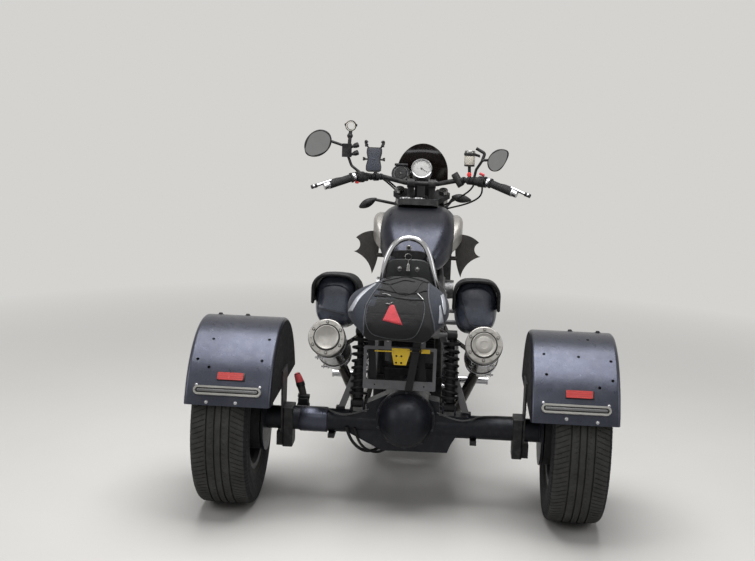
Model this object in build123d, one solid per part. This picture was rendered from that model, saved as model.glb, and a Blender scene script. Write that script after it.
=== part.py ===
from build123d import *
import math
import os

# Three-wheeled cruiser: a large shaft-driven cruiser whose rear wheel is replaced by a
# live car axle with two car tyres under box mudguards.
# Millimetres. X points forward, Y to the rider's left, Z up, the floor is Z = 0.
# Every piece is written with X = 0 at the rear axle and moved at the end, so that the
# finished vehicle is centred over its own origin.

# Driving dimensions
wheelbase = 1600
seat_gap = 0.3
running_gap = 5

rear_tyre_radius = 328
rear_tyre_width = 205
rear_rim_radius = 190
rear_wheel_y = 635

front_tyre_radius = 328
front_tyre_width = 115
front_rim_radius = 228

rake_deg = 29
trail = 110
fork_half_spacing = 100
fork_tube_radius = 20.5
slider_radius = 28
slider_room = 72
lower_clamp_z = 606
upper_clamp_z = 826
clamp_thickness = 26
stem_radius = 18.7
headstock_radius = 31

frame_tube_radius = 17
subframe_tube_radius = 14
subframe_z = 690
subframe_y = 110
subframe_rear_x = -70

crankcase_half_width = 150
crank_z = 400
crankcase_bottom = 215
bank_angle_deg = 35
bank_thickness = 190
bank_half_width = 140

axle_tube_radius = 43
half_shaft_radius = 17
diff_radius = 108
diff_y = -12
diff_lift = 34
cover_depth = 118
drum_radius = 122
drum_inner_y = 520

guard_inner_y = 451
guard_outer_y = 757
guard_room = 10
guard_centre_lift = 37
guard_bottom_lift = 126
guard_sheet = 4
guard_lip = 22
guard_corner = 14

muffler_y = 285
muffler_radius = 62
muffler_cap_radius = 68
muffler_pitch_deg = 22
muffler_length = 400
muffler_end_x = -80
muffler_end_z = 660
exhaust_radius = 21

shock_y = 170
shock_lift = 74
shock_upper_z = 664
shock_lower_x = -8
shock_upper_x = 42
spring_radius = 31
spring_wire_radius = 5
spring_turns = 7

bar_radius = 11
disc_y = 62
disc_thickness = 5
disc_radius = 141
screen_radius = 170
gauge_tilt_deg = 28
light_bar_lift_deg = 24
reflector_lift_deg = 33
grip_radius = 17
grip_length = 112

axle_z = rear_tyre_radius
shock_lower_z = axle_z + shock_lift
guard_radius = rear_tyre_radius + guard_room
guard_z = axle_z + guard_centre_lift
guard_bottom_z = axle_z + guard_bottom_lift
slider_top = front_tyre_radius + slider_room
strut_pad_z = axle_z + axle_tube_radius + 8
rake = math.radians(rake_deg)
fork_offset = (front_tyre_radius * math.tan(rake) - trail) * math.cos(rake)
steer_x = wheelbase - fork_offset * math.cos(rake)
steer_z = front_tyre_radius - fork_offset * math.sin(rake)

# The steering frame: its Z runs up the steering axis and its X leads the axis forward.
steer = Location(
    Plane(
        origin=(steer_x, 0, steer_z),
        x_dir=(math.cos(rake), 0, math.sin(rake)),
        z_dir=(-math.sin(rake), 0, math.cos(rake)),
    )
)


def steer_point(x, y, z):
    """A point of the steering frame, given in the vehicle's frame."""
    return (
        steer_x + x * math.cos(rake) - z * math.sin(rake),
        y,
        steer_z + x * math.sin(rake) + z * math.cos(rake),
    )


head_x, _, head_z = steer_point(0, 0, lower_clamp_z)
drawn_head_x = 1251.3


def ahead(x, y, z):
    """A point of the front end, measured from the foot of the headstock."""
    return (head_x + x, y, head_z + z)


def station(x):
    """A place along the chassis, which stretches with the headstock's distance."""
    return x * head_x / drawn_head_x


def stretched(rows):
    """Rows whose first value is a place along the chassis."""
    return [(station(row[0]), *row[1:]) for row in rows]


crank_x = station(800)
pivot_x = station(458)
pivot_z = 345
cradle_z = 185
bag_bracket_x = (150, station(370))


def block(x, y, z, corner=0):
    """A box between low and high values, its upright edges rounded when corner is given."""
    solid = Pos((x[0] + x[1]) / 2, (y[0] + y[1]) / 2, (z[0] + z[1]) / 2) * Box(
        x[1] - x[0], y[1] - y[0], z[1] - z[0]
    )
    if corner:
        solid = fillet(solid.edges().filter_by(Axis.Z), corner)
    return solid


def rod(start, end, radius):
    """A straight round bar from one point to another."""
    run = Vector(*end) - Vector(*start)
    return Location(Plane(origin=start, z_dir=run)) * Cylinder(
        radius, run.length, align=(Align.CENTER, Align.CENTER, Align.MIN)
    )


def cone(start, end, start_radius, end_radius):
    """A straight taper from one point to another."""
    run = Vector(*end) - Vector(*start)
    return Location(Plane(origin=start, z_dir=run)) * Cone(
        start_radius, end_radius, run.length, align=(Align.CENTER, Align.CENTER, Align.MIN)
    )


def tube(points, radius, bend):
    """A round bar bent round its corners with one bend radius."""
    path = FilletPolyline(*points, radius=bend)
    return sweep(Plane(origin=path @ 0, z_dir=path % 0) * Circle(radius), path=path)


def both_sides(solid):
    """The piece and its mirror image on the other side of the vehicle."""
    return solid + mirror(solid, about=Plane.XZ)


def side_plate(outline, y, thickness):
    """A plate parallel to the vehicle's side, from (x, z) corners, growing to +Y from y."""
    plane = Plane(origin=(0, y, 0), x_dir=(1, 0, 0), z_dir=(0, -1, 0))
    face = make_face(Polyline(*outline, close=True))
    return extrude(plane * face, -thickness)


def cross_plate(outline, x, thickness):
    """A plate that faces along the vehicle, from (y, z) corners, growing to +X from x."""
    plane = Plane(origin=(x, 0, 0), x_dir=(0, 1, 0), z_dir=(1, 0, 0))
    face = make_face(Polyline(*outline, close=True))
    return extrude(plane * face, thickness)


def smooth_plate(outline, x, thickness):
    """A plate that faces along the vehicle, its outline one smooth closed curve."""
    plane = Plane(origin=(x, 0, 0), x_dir=(0, 1, 0), z_dir=(1, 0, 0))
    return extrude(plane * make_face(Spline(*outline, periodic=True)), thickness)


def body_of_sections(rows):
    """A smooth body through upright sections: x, centre y, width, low z, high z, corner."""
    faces = []
    for x, y, width, low, high, corner in rows:
        plane = Plane(origin=(x, y, (low + high) / 2), x_dir=(0, 1, 0), z_dir=(1, 0, 0))
        faces.append(plane * RectangleRounded(width, high - low, corner))
    return loft(faces)


def turned(profile, x, y, z):
    """A piece turned about an axle along Y: profile in (radius, distance along +Y)."""
    solid = revolve(make_face([Plane.XZ * edge for edge in profile.edges()]), Axis.Z)
    return Pos(x, y, z) * Rot(-90, 0, 0) * solid


def tyre(radius, width, rim_radius, crown, shoulder):
    """A tyre about its own Z axis: crowned tread, round shoulders and bulged sidewalls."""
    half = width / 2
    tread_half = half - shoulder * 0.75
    bead_half = half * 0.78
    bulge_radius = rim_radius + (radius - rim_radius) * 0.5
    corner_radius = radius - crown - shoulder
    pieces = [ThreePointArc((radius - crown, -tread_half), (radius, 0), (radius - crown, tread_half))]
    for side in (1, -1):
        edge = (radius - crown, side * tread_half)
        knee = (radius - crown - shoulder * 0.25, side * (tread_half + shoulder * 0.5))
        corner = (corner_radius, side * (half - 2))
        pieces.append(ThreePointArc(edge, knee, corner))
        pieces.append(ThreePointArc(corner, (bulge_radius, side * half), (rim_radius, side * bead_half)))
    pieces.append(Line((rim_radius, -bead_half), (rim_radius, bead_half)))
    return revolve(make_face([Plane.XZ * piece for piece in pieces]), Axis.Z)


def wheel_turned(profile, x, y, z, side):
    """A piece turned about a wheel's axle, its profile's height measured outboard."""
    solid = turned(profile, 0, 0, 0)
    if side < 0:
        solid = mirror(solid, about=Plane.XZ)
    return Pos(x, y, z) * solid


def ring_profile(rows):
    """A closed profile of straight lines through (radius, distance along the axle) corners."""
    return Polyline(*rows, close=True)


# Frame: headstock, backbone rails, cradle loops, saddles and cross tubes
rail_path = [ahead(-86, 26, 122), ahead(-201, 80, 42)]
rail_path += stretched([(720, 105, 770), (440, subframe_y, subframe_z)])
loop_path = [ahead(-63, 30, 52), ahead(-151, 116, -288), (head_x - 171, 125, cradle_z)]
loop_path += stretched([(520, 125, cradle_z), (450, 118, 400), (440, subframe_y, subframe_z)])
headstock_bottom = lower_clamp_z + clamp_thickness + seat_gap
headstock_top = upper_clamp_z - seat_gap


def frame_rails(radius):
    """The two backbone rails, also used thicker to notch what sits on them."""
    return both_sides(tube(rail_path, radius, 60))


def frame_loops(radius):
    """The two cradle loops, also used thicker to notch what sits by them."""
    return both_sides(tube(loop_path, radius, 70))


def build_frame():
    solid = frame_rails(frame_tube_radius)
    solid += frame_loops(frame_tube_radius)
    head = steer * Pos(0, 0, (headstock_bottom + headstock_top) / 2) * Cylinder(
        headstock_radius, headstock_top - headstock_bottom
    )
    solid += head
    corners = [ahead(x, 0, z) for x, z in ((-201, 42), (-91, 117), (-71, 52), (-101, -68), (-123, -68))]
    solid += side_plate([(x, z) for x, _, z in corners], -5, 10)
    cross_tubes = [(head_x - 201, head_z + 42), (head_x - 163, 330)]
    cross_tubes += stretched([(500, cradle_z + 30), (448, 440)])
    for x, z in cross_tubes:
        solid += rod((x, -115, z), (x, 115, z), 14)
    for x in (station(640), station(930)):
        solid += both_sides(block((x - 22, x + 22), (105, 145), (cradle_z + 2, crankcase_bottom)))
    solid += both_sides(side_plate(stretched([(425, 290), (492, 290), (480, 400), (425, 400)]), 100, 36))
    bore = steer * Pos(0, 0, headstock_bottom) * Cylinder(stem_radius + seat_gap, 900)
    solid -= bore
    return solid - rod((pivot_x, -140, pivot_z), (pivot_x, 140, pivot_z), 12 + seat_gap)


# Rear subframe: a bent loop under the seat, its stays, shock pins, bag and muffler brackets
def subframe_rail(radius):
    start = station(440) - frame_tube_radius - 6
    return tube(
        [
            (start, subframe_y, subframe_z),
            (subframe_rear_x, subframe_y, subframe_z),
            (subframe_rear_x, -subframe_y, subframe_z),
            (start, -subframe_y, subframe_z),
        ],
        radius,
        50,
    )


def build_subframe():
    solid = subframe_rail(subframe_tube_radius)
    lug_x = station(440) - frame_tube_radius - seat_gap
    for x in (300, 120):
        solid += rod((x, -subframe_y, subframe_z), (x, subframe_y, subframe_z), 10)
    solid += both_sides(block((lug_x - 22, lug_x), (98, 122), (676, 704)))
    pin = both_sides(rod((shock_upper_x, 100, shock_upper_z), (shock_upper_x, 190, shock_upper_z), 8))
    lug = both_sides(block((shock_upper_x - 13, shock_upper_x + 13), (99, 121), (652, 690)))
    solid += pin + lug
    for x in bag_bracket_x:
        solid += both_sides(block((x - 14, x + 14), (subframe_y, 199.7), (684, 696)))
    strut_top = (130, 118, 684)
    strut = square_bar((12, 238, strut_pad_z - 20), strut_top, 24)
    strut -= block((-60, 90), (150, 300), (strut_pad_z - 60, strut_pad_z + seat_gap))
    return solid + both_sides(strut)


def square_bar(start, end, width):
    """A straight square bar from one point to another."""
    run = Vector(*end) - Vector(*start)
    return Location(Plane(origin=start, z_dir=run)) * Box(
        width, width, run.length, align=(Align.CENTER, Align.CENTER, Align.MIN)
    )


# Engine: a V engine across the frame with two banks leaning forward and back
def bank(angle, low, high, thickness, half_width):
    """A slab of one cylinder bank between two distances from the crankshaft."""
    return Location((crank_x, 0, crank_z), (0, angle, 0)) * Pos(0, 0, (low + high) / 2) * Box(
        thickness, 2 * half_width, high - low
    )


crankcase_covers = [
    # x, z, side, radius, depth
    (728, 385, -1, 104, 48),
    (900, 370, -1, 72, 34),
    (840, 385, 1, 96, 44),
    (665, 360, 1, 66, 30),
]


def build_engine_block():
    nose = head_x - 211
    outline = stretched([(548, 235), (548, 400), (600, 470), (700, 500), (900, 500)])
    outline += [(nose - 40, 460), (nose, 400), (nose, 250), (nose - 40, crankcase_bottom)]
    outline += stretched([(590, crankcase_bottom)])
    solid = side_plate(outline, -crankcase_half_width, 2 * crankcase_half_width)
    solid = fillet(solid.edges().filter_by(Axis.Y), 16)
    for x, z, side, radius, depth in stretched(crankcase_covers):
        start = (x, side * (crankcase_half_width - 2), z)
        end = (x, side * (crankcase_half_width + depth), z)
        cover = rod(start, end, radius)
        rim = cover.edges().filter_by(GeomType.CIRCLE).sort_by(Axis.Y)
        cover = fillet(rim[-1] if side > 0 else rim[0], 12)
        solid += cover
    return solid


def build_cylinders():
    case = build_engine_block()
    solid = None
    for angle in (bank_angle_deg, -bank_angle_deg):
        piece = bank(angle, 60, 232, bank_thickness - 24, bank_half_width - 12)
        for step in range(7):
            low = 118 + step * 16
            piece += bank(angle, low, low + 7, bank_thickness, bank_half_width)
        piece += bank(angle, 232, 296, bank_thickness, bank_half_width)
        solid = piece if solid is None else solid + piece
    return solid - case - frame_rails(frame_tube_radius + 4) - frame_loops(frame_tube_radius + 4)


def build_head_covers():
    solid = None
    for angle in (bank_angle_deg, -bank_angle_deg):
        cover = bank(angle, 296, 330, bank_thickness - 10, bank_half_width - 4)
        plane_axis = Axis((0, 0, 0), (math.sin(math.radians(angle)), 0, math.cos(math.radians(angle))))
        cover = fillet(cover.edges().filter_by(plane_axis), 22)
        solid = cover if solid is None else solid + cover
    return solid


def build_carburettors():
    solid = block((crank_x - 65, crank_x + 65), (-128, 128), (610, 742), 20)
    solid += both_sides(rod((crank_x - 10, 120, 700), (crank_x - 10, 166, 700), 40))
    solid = solid - build_cylinders() - build_head_covers()
    return solid.solids().sort_by(SortBy.VOLUME)[-1]


def build_radiator():
    (top_x, _, top_z), (low_x, _, low_z) = loop_path[:2]
    slope = (top_x - low_x) / (top_z - low_z)
    lean = math.atan(slope)
    offset = (frame_tube_radius + 17 + seat_gap) / math.cos(lean)
    centre_z = head_z - 136
    place = Location((low_x + slope * (centre_z - low_z) + offset, 0, centre_z), (0, math.degrees(lean), 0))
    solid = place * Box(34, 300, 210)
    for step in range(10):
        solid -= place * Pos(17, 0, -90 + step * 20) * Box(10, 270, 9)
    return solid - frame_loops(frame_tube_radius + seat_gap)


# Bodywork
tank_rows = stretched([
    # x, centre y, width, low z, high z, corner
    (622, 0, 170, 800, 872, 30),
    (700, 0, 270, 800, 950, 55),
    (830, 0, 342, 838, 1012, 80),
    (980, 0, 320, 872, 1036, 78),
    (1086, 0, 200, 905, 1014, 50),
])


def build_tank():
    solid = body_of_sections(tank_rows)
    solid -= frame_rails(frame_tube_radius + seat_gap)
    keep_clear = steer * Pos(0, 0, 700) * Cylinder(headstock_radius + running_gap + 24, 400)
    solid -= keep_clear
    return solid.solids().sort_by(SortBy.VOLUME)[-1]


def build_air_scoops():
    tank = build_tank()
    rows = [
        (742, 128, 36, 856, 905, 14),
        (800, 160, 44, 880, 962, 18),
        (880, 168, 52, 900, 1000, 22),
        (930, 160, 56, 902, 1006, 22),
    ]
    pod = rod((station(846), -212, 864), (station(800), -212, 864), 40)
    pod = fillet(pod.edges().filter_by(GeomType.CIRCLE), 14)
    scoop = body_of_sections(stretched(rows))
    scoop -= Pos(station(915), 182, 954) * Box(60, 26, 72)
    solid = both_sides(scoop) + pod - tank
    parts = solid.solids().sort_by(SortBy.VOLUME)
    return Part() + [parts[-1], parts[-2]]


def build_dash_console():
    """The instrument console on the tank: two round dials and a square panel beside them."""
    lean = 18
    place = Location((station(985), 8, 1036), (0, lean, 0))
    upward = Axis((0, 0, 0), (math.sin(math.radians(lean)), 0, math.cos(math.radians(lean))))
    plate = place * extrude(Rectangle(150, 178), 14, both=True)
    plate = fillet(plate.edges().filter_by(upward), 40)
    for y in (54, -2):
        plate += place * Pos(-20, y, 10) * Cylinder(27, 20)
    panel = place * Pos(-20, -58, 10) * Box(40, 44, 16)
    plate += fillet(panel.edges().filter_by(upward), 5)
    return plate - build_tank()


seat_rows = stretched([
    (642, 0, 150, 770, 842, 24),
    (560, 0, 250, 728, 800, 30),
    (450, 0, 310, 706, 772, 28),
    (345, 0, 270, 706, 778, 28),
    (290, 0, 188, 706, 800, 26),
])
pillion_top = 746
pillion_rear_x = subframe_rear_x + 8


def build_seat():
    rider = body_of_sections(seat_rows)
    pillion = block((pillion_rear_x, station(300)), (-90, 90), (700, pillion_top), 30)
    solid = rider + pillion
    solid -= frame_rails(frame_tube_radius + seat_gap)
    solid -= subframe_envelope() + body_of_sections(tank_rows)
    return solid.solids().sort_by(SortBy.VOLUME)[-1]


def subframe_envelope():
    """The space of the seat loop and its cross bars, with a small clearance."""
    solid = subframe_rail(subframe_tube_radius + seat_gap)
    for x in (300, 120):
        solid += rod((x, -subframe_y, subframe_z), (x, subframe_y, subframe_z), 10 + seat_gap)
    return solid


bag_rows = [
    (204, 12, 190, pillion_top + seat_gap, 852, 30),
    (110, 20, 270, pillion_top - 20, 850, 40),
    (0, 30, 380, 706, 834, 46),
    (-80, 32, 366, 690, 802, 44),
    (-148, 30, 262, 656, 736, 30),
]


def build_tail_bag():
    solid = body_of_sections(bag_rows)
    half = 90 + seat_gap
    solid -= block((pillion_rear_x - seat_gap, 320), (-half, half), (600, pillion_top + seat_gap), 30)
    for y in (-62, 62):
        solid -= block((plate_x - 4 - seat_gap, plate_x + seat_gap), (y - 14, y + 14), (600, 701))
    solid -= subframe_envelope()
    return solid.solids().sort_by(SortBy.VOLUME)[-1]


hoop_x = 224
hoop_points = [
    # x, y, z up from its foot on the left, over the top and down on the right
    (224, 109, 800), (226, 106, 856), (233, 84, 938), (240, 57, 976), (244, 12, 992),
    (240, -40, 974), (233, -66, 931), (226, -88, 852), (224, -102, 796),
]


def build_grab_hoop():
    """A bent chrome hoop with a bolted panel across it behind the seat."""
    foot_z = subframe_z + subframe_tube_radius + seat_gap
    ends = [(hoop_x, 107, foot_z), (hoop_x, -107, foot_z)]
    route = Spline(ends[0], *hoop_points, ends[1], tangents=[(0, 0, 1), (0, 0, -1)])
    solid = sweep(Plane(origin=route @ 0, z_dir=route % 0) * Circle(11), path=route)
    solid += cross_plate([(102, 800), (-94, 800), (-86, 868), (-50, 906), (72, 906), (98, 868)], 228, 6)
    for y in (44, -24):
        solid += rod((222, y, 872), (238, y, 872), 8)
    return solid


saddlebag_y = 265
saddlebag_shift = 12
saddlebag_rows = [
    # x, width, low z, high z, corner
    (102, 160, 662, 858, 50),
    (160, 166, 640, 858, 52),
    (300, 164, 612, 832, 48),
    (428, 144, 632, 796, 42),
]


def build_saddlebag(side):
    """A soft bag with an arched top, under a lid that is a little wider."""
    y = side * saddlebag_y + saddlebag_shift
    shell, lid = [], []
    for x, width, low, high, corner in saddlebag_rows:
        shell.append((x, y, width, low, high, corner))
        lid.append((x - 4, y, width + 8, high - 2.1 * corner, high + 4, corner))
    solid = body_of_sections(shell) + body_of_sections(lid)
    for x in bag_bracket_x:
        solid -= block((x - 14.3, x + 14.3), (-210, 210), (683.7, 696.3))
    return solid


# Exhaust
muffler_pitch = math.radians(muffler_pitch_deg)
muffler_dir = Vector(-math.cos(muffler_pitch), 0, math.sin(muffler_pitch))


def muffler_point(distance, y=muffler_y):
    """A point on the left muffler's centre line, measured forward from its rear end."""
    return (
        muffler_end_x - muffler_dir.X * distance,
        y,
        muffler_end_z - muffler_dir.Z * distance,
    )


def build_mufflers():
    solid = rod(muffler_point(12), muffler_point(muffler_length), muffler_radius)
    front, tip = muffler_point(muffler_length), muffler_point(muffler_length + 60)
    solid += cone(front, tip, muffler_radius, exhaust_radius + 6)
    for distance in (60, 300):
        solid += rod(muffler_point(distance), muffler_point(distance + 22), muffler_radius + 3)
    hanger = rod(muffler_point(190, muffler_y - 40), (92, subframe_y, subframe_z - 6), 8)
    solid += hanger
    solid = both_sides(solid - subframe_rail(subframe_tube_radius + seat_gap))
    return Part() + [piece for piece in solid.solids() if piece.volume > 1e5]


def build_muffler_caps():
    """Bolted end rings, each with a groove round a raised disc in its middle."""
    def layer(near, far, radius):
        return rod(muffler_point(near), muffler_point(far), radius)

    ring = layer(12, -8, muffler_cap_radius)
    rim = ring.edges().filter_by(GeomType.CIRCLE).sort_by(Axis.X)
    ring = fillet(rim[0], 5)
    ring -= layer(-2, -20, 49)
    disc = layer(0, -14, 45)
    rim = disc.edges().filter_by(GeomType.CIRCLE).sort_by(Axis.X)
    ring += fillet(rim[0], 6)
    for step in range(6):
        angle = math.radians(60 * step + 30)
        plane = Plane(origin=muffler_point(-7), z_dir=muffler_dir)
        bolt = Cylinder(4.5, 5, align=(Align.CENTER, Align.CENTER, Align.MIN))
        ring += Location(plane) * Pos(56.5 * math.cos(angle), 56.5 * math.sin(angle), 0) * bolt
    return both_sides(ring)


def build_exhaust_pipes():
    end = muffler_point(muffler_length + 60)
    lead = muffler_point(muffler_length + 110)
    front = ((240, 66, 604), (330, 66, 566), (348, 130, 440), (340, 168, 300), (260, 190, 232))
    path = [(crank_x + x, y, z) for x, y, z in front]
    path += [(station(480), 190, 232), lead, end]
    solid = tube(path, exhaust_radius, 38)
    solid = both_sides(solid)
    solid -= build_cylinders() + build_head_covers()
    solid -= frame_loops(frame_tube_radius + 4)
    return Part() + [piece for piece in solid.solids() if piece.volume > 1e5]


# Rear axle: banjo housing with its domed cover, tubes, back plates and links
def build_axle_housing():
    tube_end = drum_inner_y - running_gap - 8
    solid = rod((0, -tube_end, axle_z), (0, tube_end, axle_z), axle_tube_radius)
    centre_z = axle_z + diff_lift
    solid += rod((-62, diff_y, centre_z), (70, diff_y, centre_z), diff_radius)
    web = [
        # y, height over the axle
        (-243, 45), (-182, -61), (-169, -94), (73, -98), (190, -40),
        (240, 0), (164, 66), (39, 128), (-127, 100),
    ]
    solid += cross_plate([(y, axle_z + lift) for y, lift in web], -36, 72)
    for side in (1, -1):
        near, far = side * (shock_y - 36), side * (shock_y + 92)
        solid -= block((-60, 60), (min(near, far), max(near, far)), (axle_z + 48, axle_z + 140))
    nose = cone((60, 0, axle_z + 8), (236, 0, axle_z + 8), 82, 46)
    solid += nose + rod((236, 0, axle_z + 8), (250, 0, axle_z + 8), 56)
    lug = [(-24, axle_z + 40), (-24, shock_lower_z + 10), (8, shock_lower_z + 10), (20, axle_z + 40)]
    for side in (1, -1):
        solid += rod((0, side * tube_end, axle_z), (0, side * (tube_end + 8), axle_z), drum_radius + 4)
        solid += block((-22, 22), (side * shock_y - 30, side * shock_y + 30), (axle_z + 30, axle_z + 48))
        for face in (-26, 20):
            solid += side_plate(lug, side * shock_y + face, 6)
        pin_y = (side * shock_y - 24, side * shock_y + 24)
        solid += rod((shock_lower_x, pin_y[0], shock_lower_z), (shock_lower_x, pin_y[1], shock_lower_z), 8)
        solid += block((-4, 28), (side * 236 - 16, side * 236 + 16), (axle_z + 30, strut_pad_z))
    solid -= rod((0, -700, axle_z), (0, -400, axle_z), half_shaft_radius + seat_gap)
    solid -= rod((0, 400, axle_z), (0, 700, axle_z), half_shaft_radius + seat_gap)
    return solid


def build_diff_cover():
    """The domed rear cover with its flange, turned about the vehicle's length."""
    flange = 10
    dome = diff_radius - 8
    profile = [
        Line((0, 0), (0, diff_radius)),
        Line((0, diff_radius), (flange, diff_radius)),
        Line((flange, diff_radius), (flange, dome)),
        ThreePointArc((flange, dome), (cover_depth * 0.62, dome * 0.78), (cover_depth * 0.9, 30)),
        Line((cover_depth * 0.9, 30), (cover_depth * 0.9, 0)),
        Line((cover_depth * 0.9, 0), (0, 0)),
    ]
    solid = revolve(make_face(profile), Axis.X)
    solid = Pos(-62, diff_y, axle_z + diff_lift) * Rot(0, 0, 180) * solid
    plug_y, plug_z = diff_y - 34, axle_z + 8
    plug = rod((-100, plug_y, plug_z), (-152, plug_y, plug_z), 15)
    return solid + plug


def build_axle_brackets():
    """Clamp blocks under the tube ends with the stays that carry the mudguards."""
    outline = [(-48, -42), (48, -42), (60, 142), (60, 192), (-60, 192), (-60, 142)]
    stay = side_plate([(x, axle_z + lift) for x, lift in outline], guard_inner_y - 6, 6)
    clamp = block((-46, 46), (408, guard_inner_y - 6), (axle_z - 100, axle_z + 48), 6)
    foot = block((-30, 30), (guard_inner_y - 6, guard_inner_y + 18), (axle_z - 100, axle_z - 48))
    lever_arm = block((46, 132), (366, 412), (axle_z + 10, axle_z + 22))
    solid = both_sides(stay + clamp + foot) + lever_arm
    return solid - rod((0, -600, axle_z), (0, 600, axle_z), axle_tube_radius + seat_gap)


arm_y = 264


def build_swing_arms():
    """Trailing links from the frame's pivot to the axle, with the pivot bolt between them."""
    route = [(pivot_x, 62, pivot_z), (station(330), 96, pivot_z - 33), (66, arm_y, axle_z - 28)]
    side = tube(route, 16, 60)
    eye = rod((pivot_x, 46, pivot_z), (pivot_x, 98, pivot_z), 24)
    seat_z = axle_z - axle_tube_radius - seat_gap
    lug = block((46, 82), (arm_y - 17, arm_y + 17), (seat_z - 16, axle_z - 10))
    saddle = block((-40, 82), (arm_y - 12, arm_y + 12), (seat_z - 16, seat_z))
    solid = both_sides(side + eye + lug + saddle)
    return solid + rod((pivot_x, -136, pivot_z), (pivot_x, 136, pivot_z), 12)


def build_prop_shaft():
    rear_x = 250 + seat_gap
    flange_z = axle_z + 8
    joint = (station(500), 0, 350)
    solid = rod((rear_x, 0, flange_z), (rear_x + 12, 0, flange_z), 50)
    solid += rod((rear_x + 12, 0, flange_z), (rear_x + 48, 0, flange_z), 24)
    solid += Pos(rear_x + 56, 0, flange_z) * Sphere(28)
    solid += rod((rear_x + 56, 0, flange_z), joint, 20)
    solid += Pos(*joint) * Sphere(26)
    solid += rod(joint, (station(548) - seat_gap, 0, 350), 24)
    return solid - rod((pivot_x, -140, pivot_z), (pivot_x, 140, pivot_z), 12 + running_gap)


def guard_arc(radius, z):
    """Half the width of the mudguard's arch at a height."""
    return math.sqrt(radius**2 - (z - guard_z) ** 2)


def build_guard(side):
    """A box mudguard: a bent wrap sheet, a full inner side plate and a narrow outer lip."""
    def arch(radius, low):
        half = guard_arc(radius, low)
        edges = [
            ThreePointArc((-half, low), (0, guard_z + radius), (half, low)),
            Line((half, low), (-half, low)),
        ]
        return make_face(edges)

    plane = Plane(origin=(0, guard_inner_y, 0), x_dir=(1, 0, 0), z_dir=(0, -1, 0))
    width = guard_outer_y - guard_inner_y
    solid = extrude(plane * arch(guard_radius, guard_bottom_z), -width)
    solid = fillet(solid.edges().filter_by(GeomType.CIRCLE), guard_corner)
    inside = Plane(origin=(0, guard_inner_y + guard_sheet, 0), x_dir=(1, 0, 0), z_dir=(0, -1, 0))
    hollow = arch(guard_radius - guard_sheet, guard_bottom_z - 20)
    hollow = extrude(inside * hollow, -(width - 2 * guard_sheet))
    hollow = fillet(hollow.edges().filter_by(GeomType.CIRCLE), guard_corner - guard_sheet)
    mouth = extrude(inside * arch(guard_radius - guard_lip, guard_bottom_z - 20), -(width + 20))
    solid = solid - hollow - mouth
    return solid if side > 0 else mirror(solid, about=Plane.XZ)


def on_guard(lift_deg, depth):
    """A place on the wrap sheet's rear face, its Z pointing out of the sheet."""
    lift = math.radians(lift_deg)
    normal = (-math.cos(lift), 0, math.sin(lift))
    reach = guard_radius + depth
    return Plane(origin=(normal[0] * reach, 0, guard_z + normal[2] * reach), x_dir=(0, -1, 0), z_dir=normal)


light_bar_y = (guard_inner_y + guard_outer_y) / 2


def build_light_bars():
    plane = on_guard(light_bar_lift_deg, seat_gap)
    bar = extrude(plane * Pos(-light_bar_y, 0) * SlotOverall(238, 32), 14)
    recess = Plane(plane.origin + plane.z_dir * 11, x_dir=(0, -1, 0), z_dir=plane.z_dir)
    bar -= extrude(recess * Pos(-light_bar_y, 0) * SlotOverall(224, 18), 10)
    return both_sides(bar)


def build_reflectors():
    plane = on_guard(reflector_lift_deg, seat_gap)
    left = extrude(plane * Pos(-(light_bar_y - 6), 0) * RectangleRounded(91, 27, 4), 8)
    right = extrude(plane * Pos(light_bar_y + 10, 0) * RectangleRounded(91, 27, 4), 8)
    return left + right


def rear_wheel_profile():
    rim = rear_rim_radius
    return [
        (rim - 12, -86), (rim + 8, -88), (rim + 8, -82), (rim, -78), (rim, 78), (rim + 8, 82),
        (rim + 8, 88), (rim - 12, 86), (rim - 12, 60), (rim - 16, 52), (rim - 16, -70),
    ]


def build_rear_wheel(side):
    """A five-spoke car wheel with its brake drum and the half shaft that carries it."""
    y = side * rear_wheel_y
    inner = drum_inner_y - rear_wheel_y
    solid = wheel_turned(ring_profile(rear_wheel_profile()), 0, y, axle_z, side)
    disc = wheel_turned(
        ring_profile([(0, 10), (70, 10), (100, 26), (rear_rim_radius - 14, 34), (rear_rim_radius - 14, 54),
                      (100, 48), (62, 42), (52, 34), (0, 34)]),
        0, y, axle_z, side,
    )
    window = make_face(Polyline((84, -12), (84, 12), (158, 52), (172, 0), (158, -52), close=True))
    window = fillet(window.vertices(), 8)
    for step in range(5):
        turn = Location((0, y, axle_z), (90, 0, 0)) * Rot(0, 0, 72 * step + 36)
        disc -= turn * extrude(window, 200, both=True)
    solid += disc
    solid += wheel_turned(ring_profile([(0, inner), (drum_radius, inner), (drum_radius, inner + 64),
                                        (96, inner + 76), (96, 12), (0, 12)]), 0, y, axle_z, side)
    shaft_y = (side * (drum_inner_y - 70), side * (drum_inner_y + 2))
    solid += rod((0, shaft_y[0], axle_z), (0, shaft_y[1], axle_z), half_shaft_radius)
    for step in range(5):
        angle = math.radians(72 * step)
        solid -= rod(
            (56 * math.cos(angle), y + side * 30, axle_z + 56 * math.sin(angle)),
            (56 * math.cos(angle), y + side * 60, axle_z + 56 * math.sin(angle)), 9,
        )
    return solid


def build_rear_tyre(side):
    solid = tyre(rear_tyre_radius, rear_tyre_width, rear_rim_radius, 4, 30)
    solid = Pos(0, side * rear_wheel_y, axle_z) * Rot(90, 0, 0) * solid
    return solid - wheel_turned(ring_profile(rear_wheel_profile()), 0, side * rear_wheel_y, axle_z, side)


def shock_point(share, y=shock_y):
    """A point on the left damper's centre line between its lower and upper eyes."""
    return (
        shock_lower_x + (shock_upper_x - shock_lower_x) * share, y,
        shock_lower_z + (shock_upper_z - shock_lower_z) * share,
    )


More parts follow.
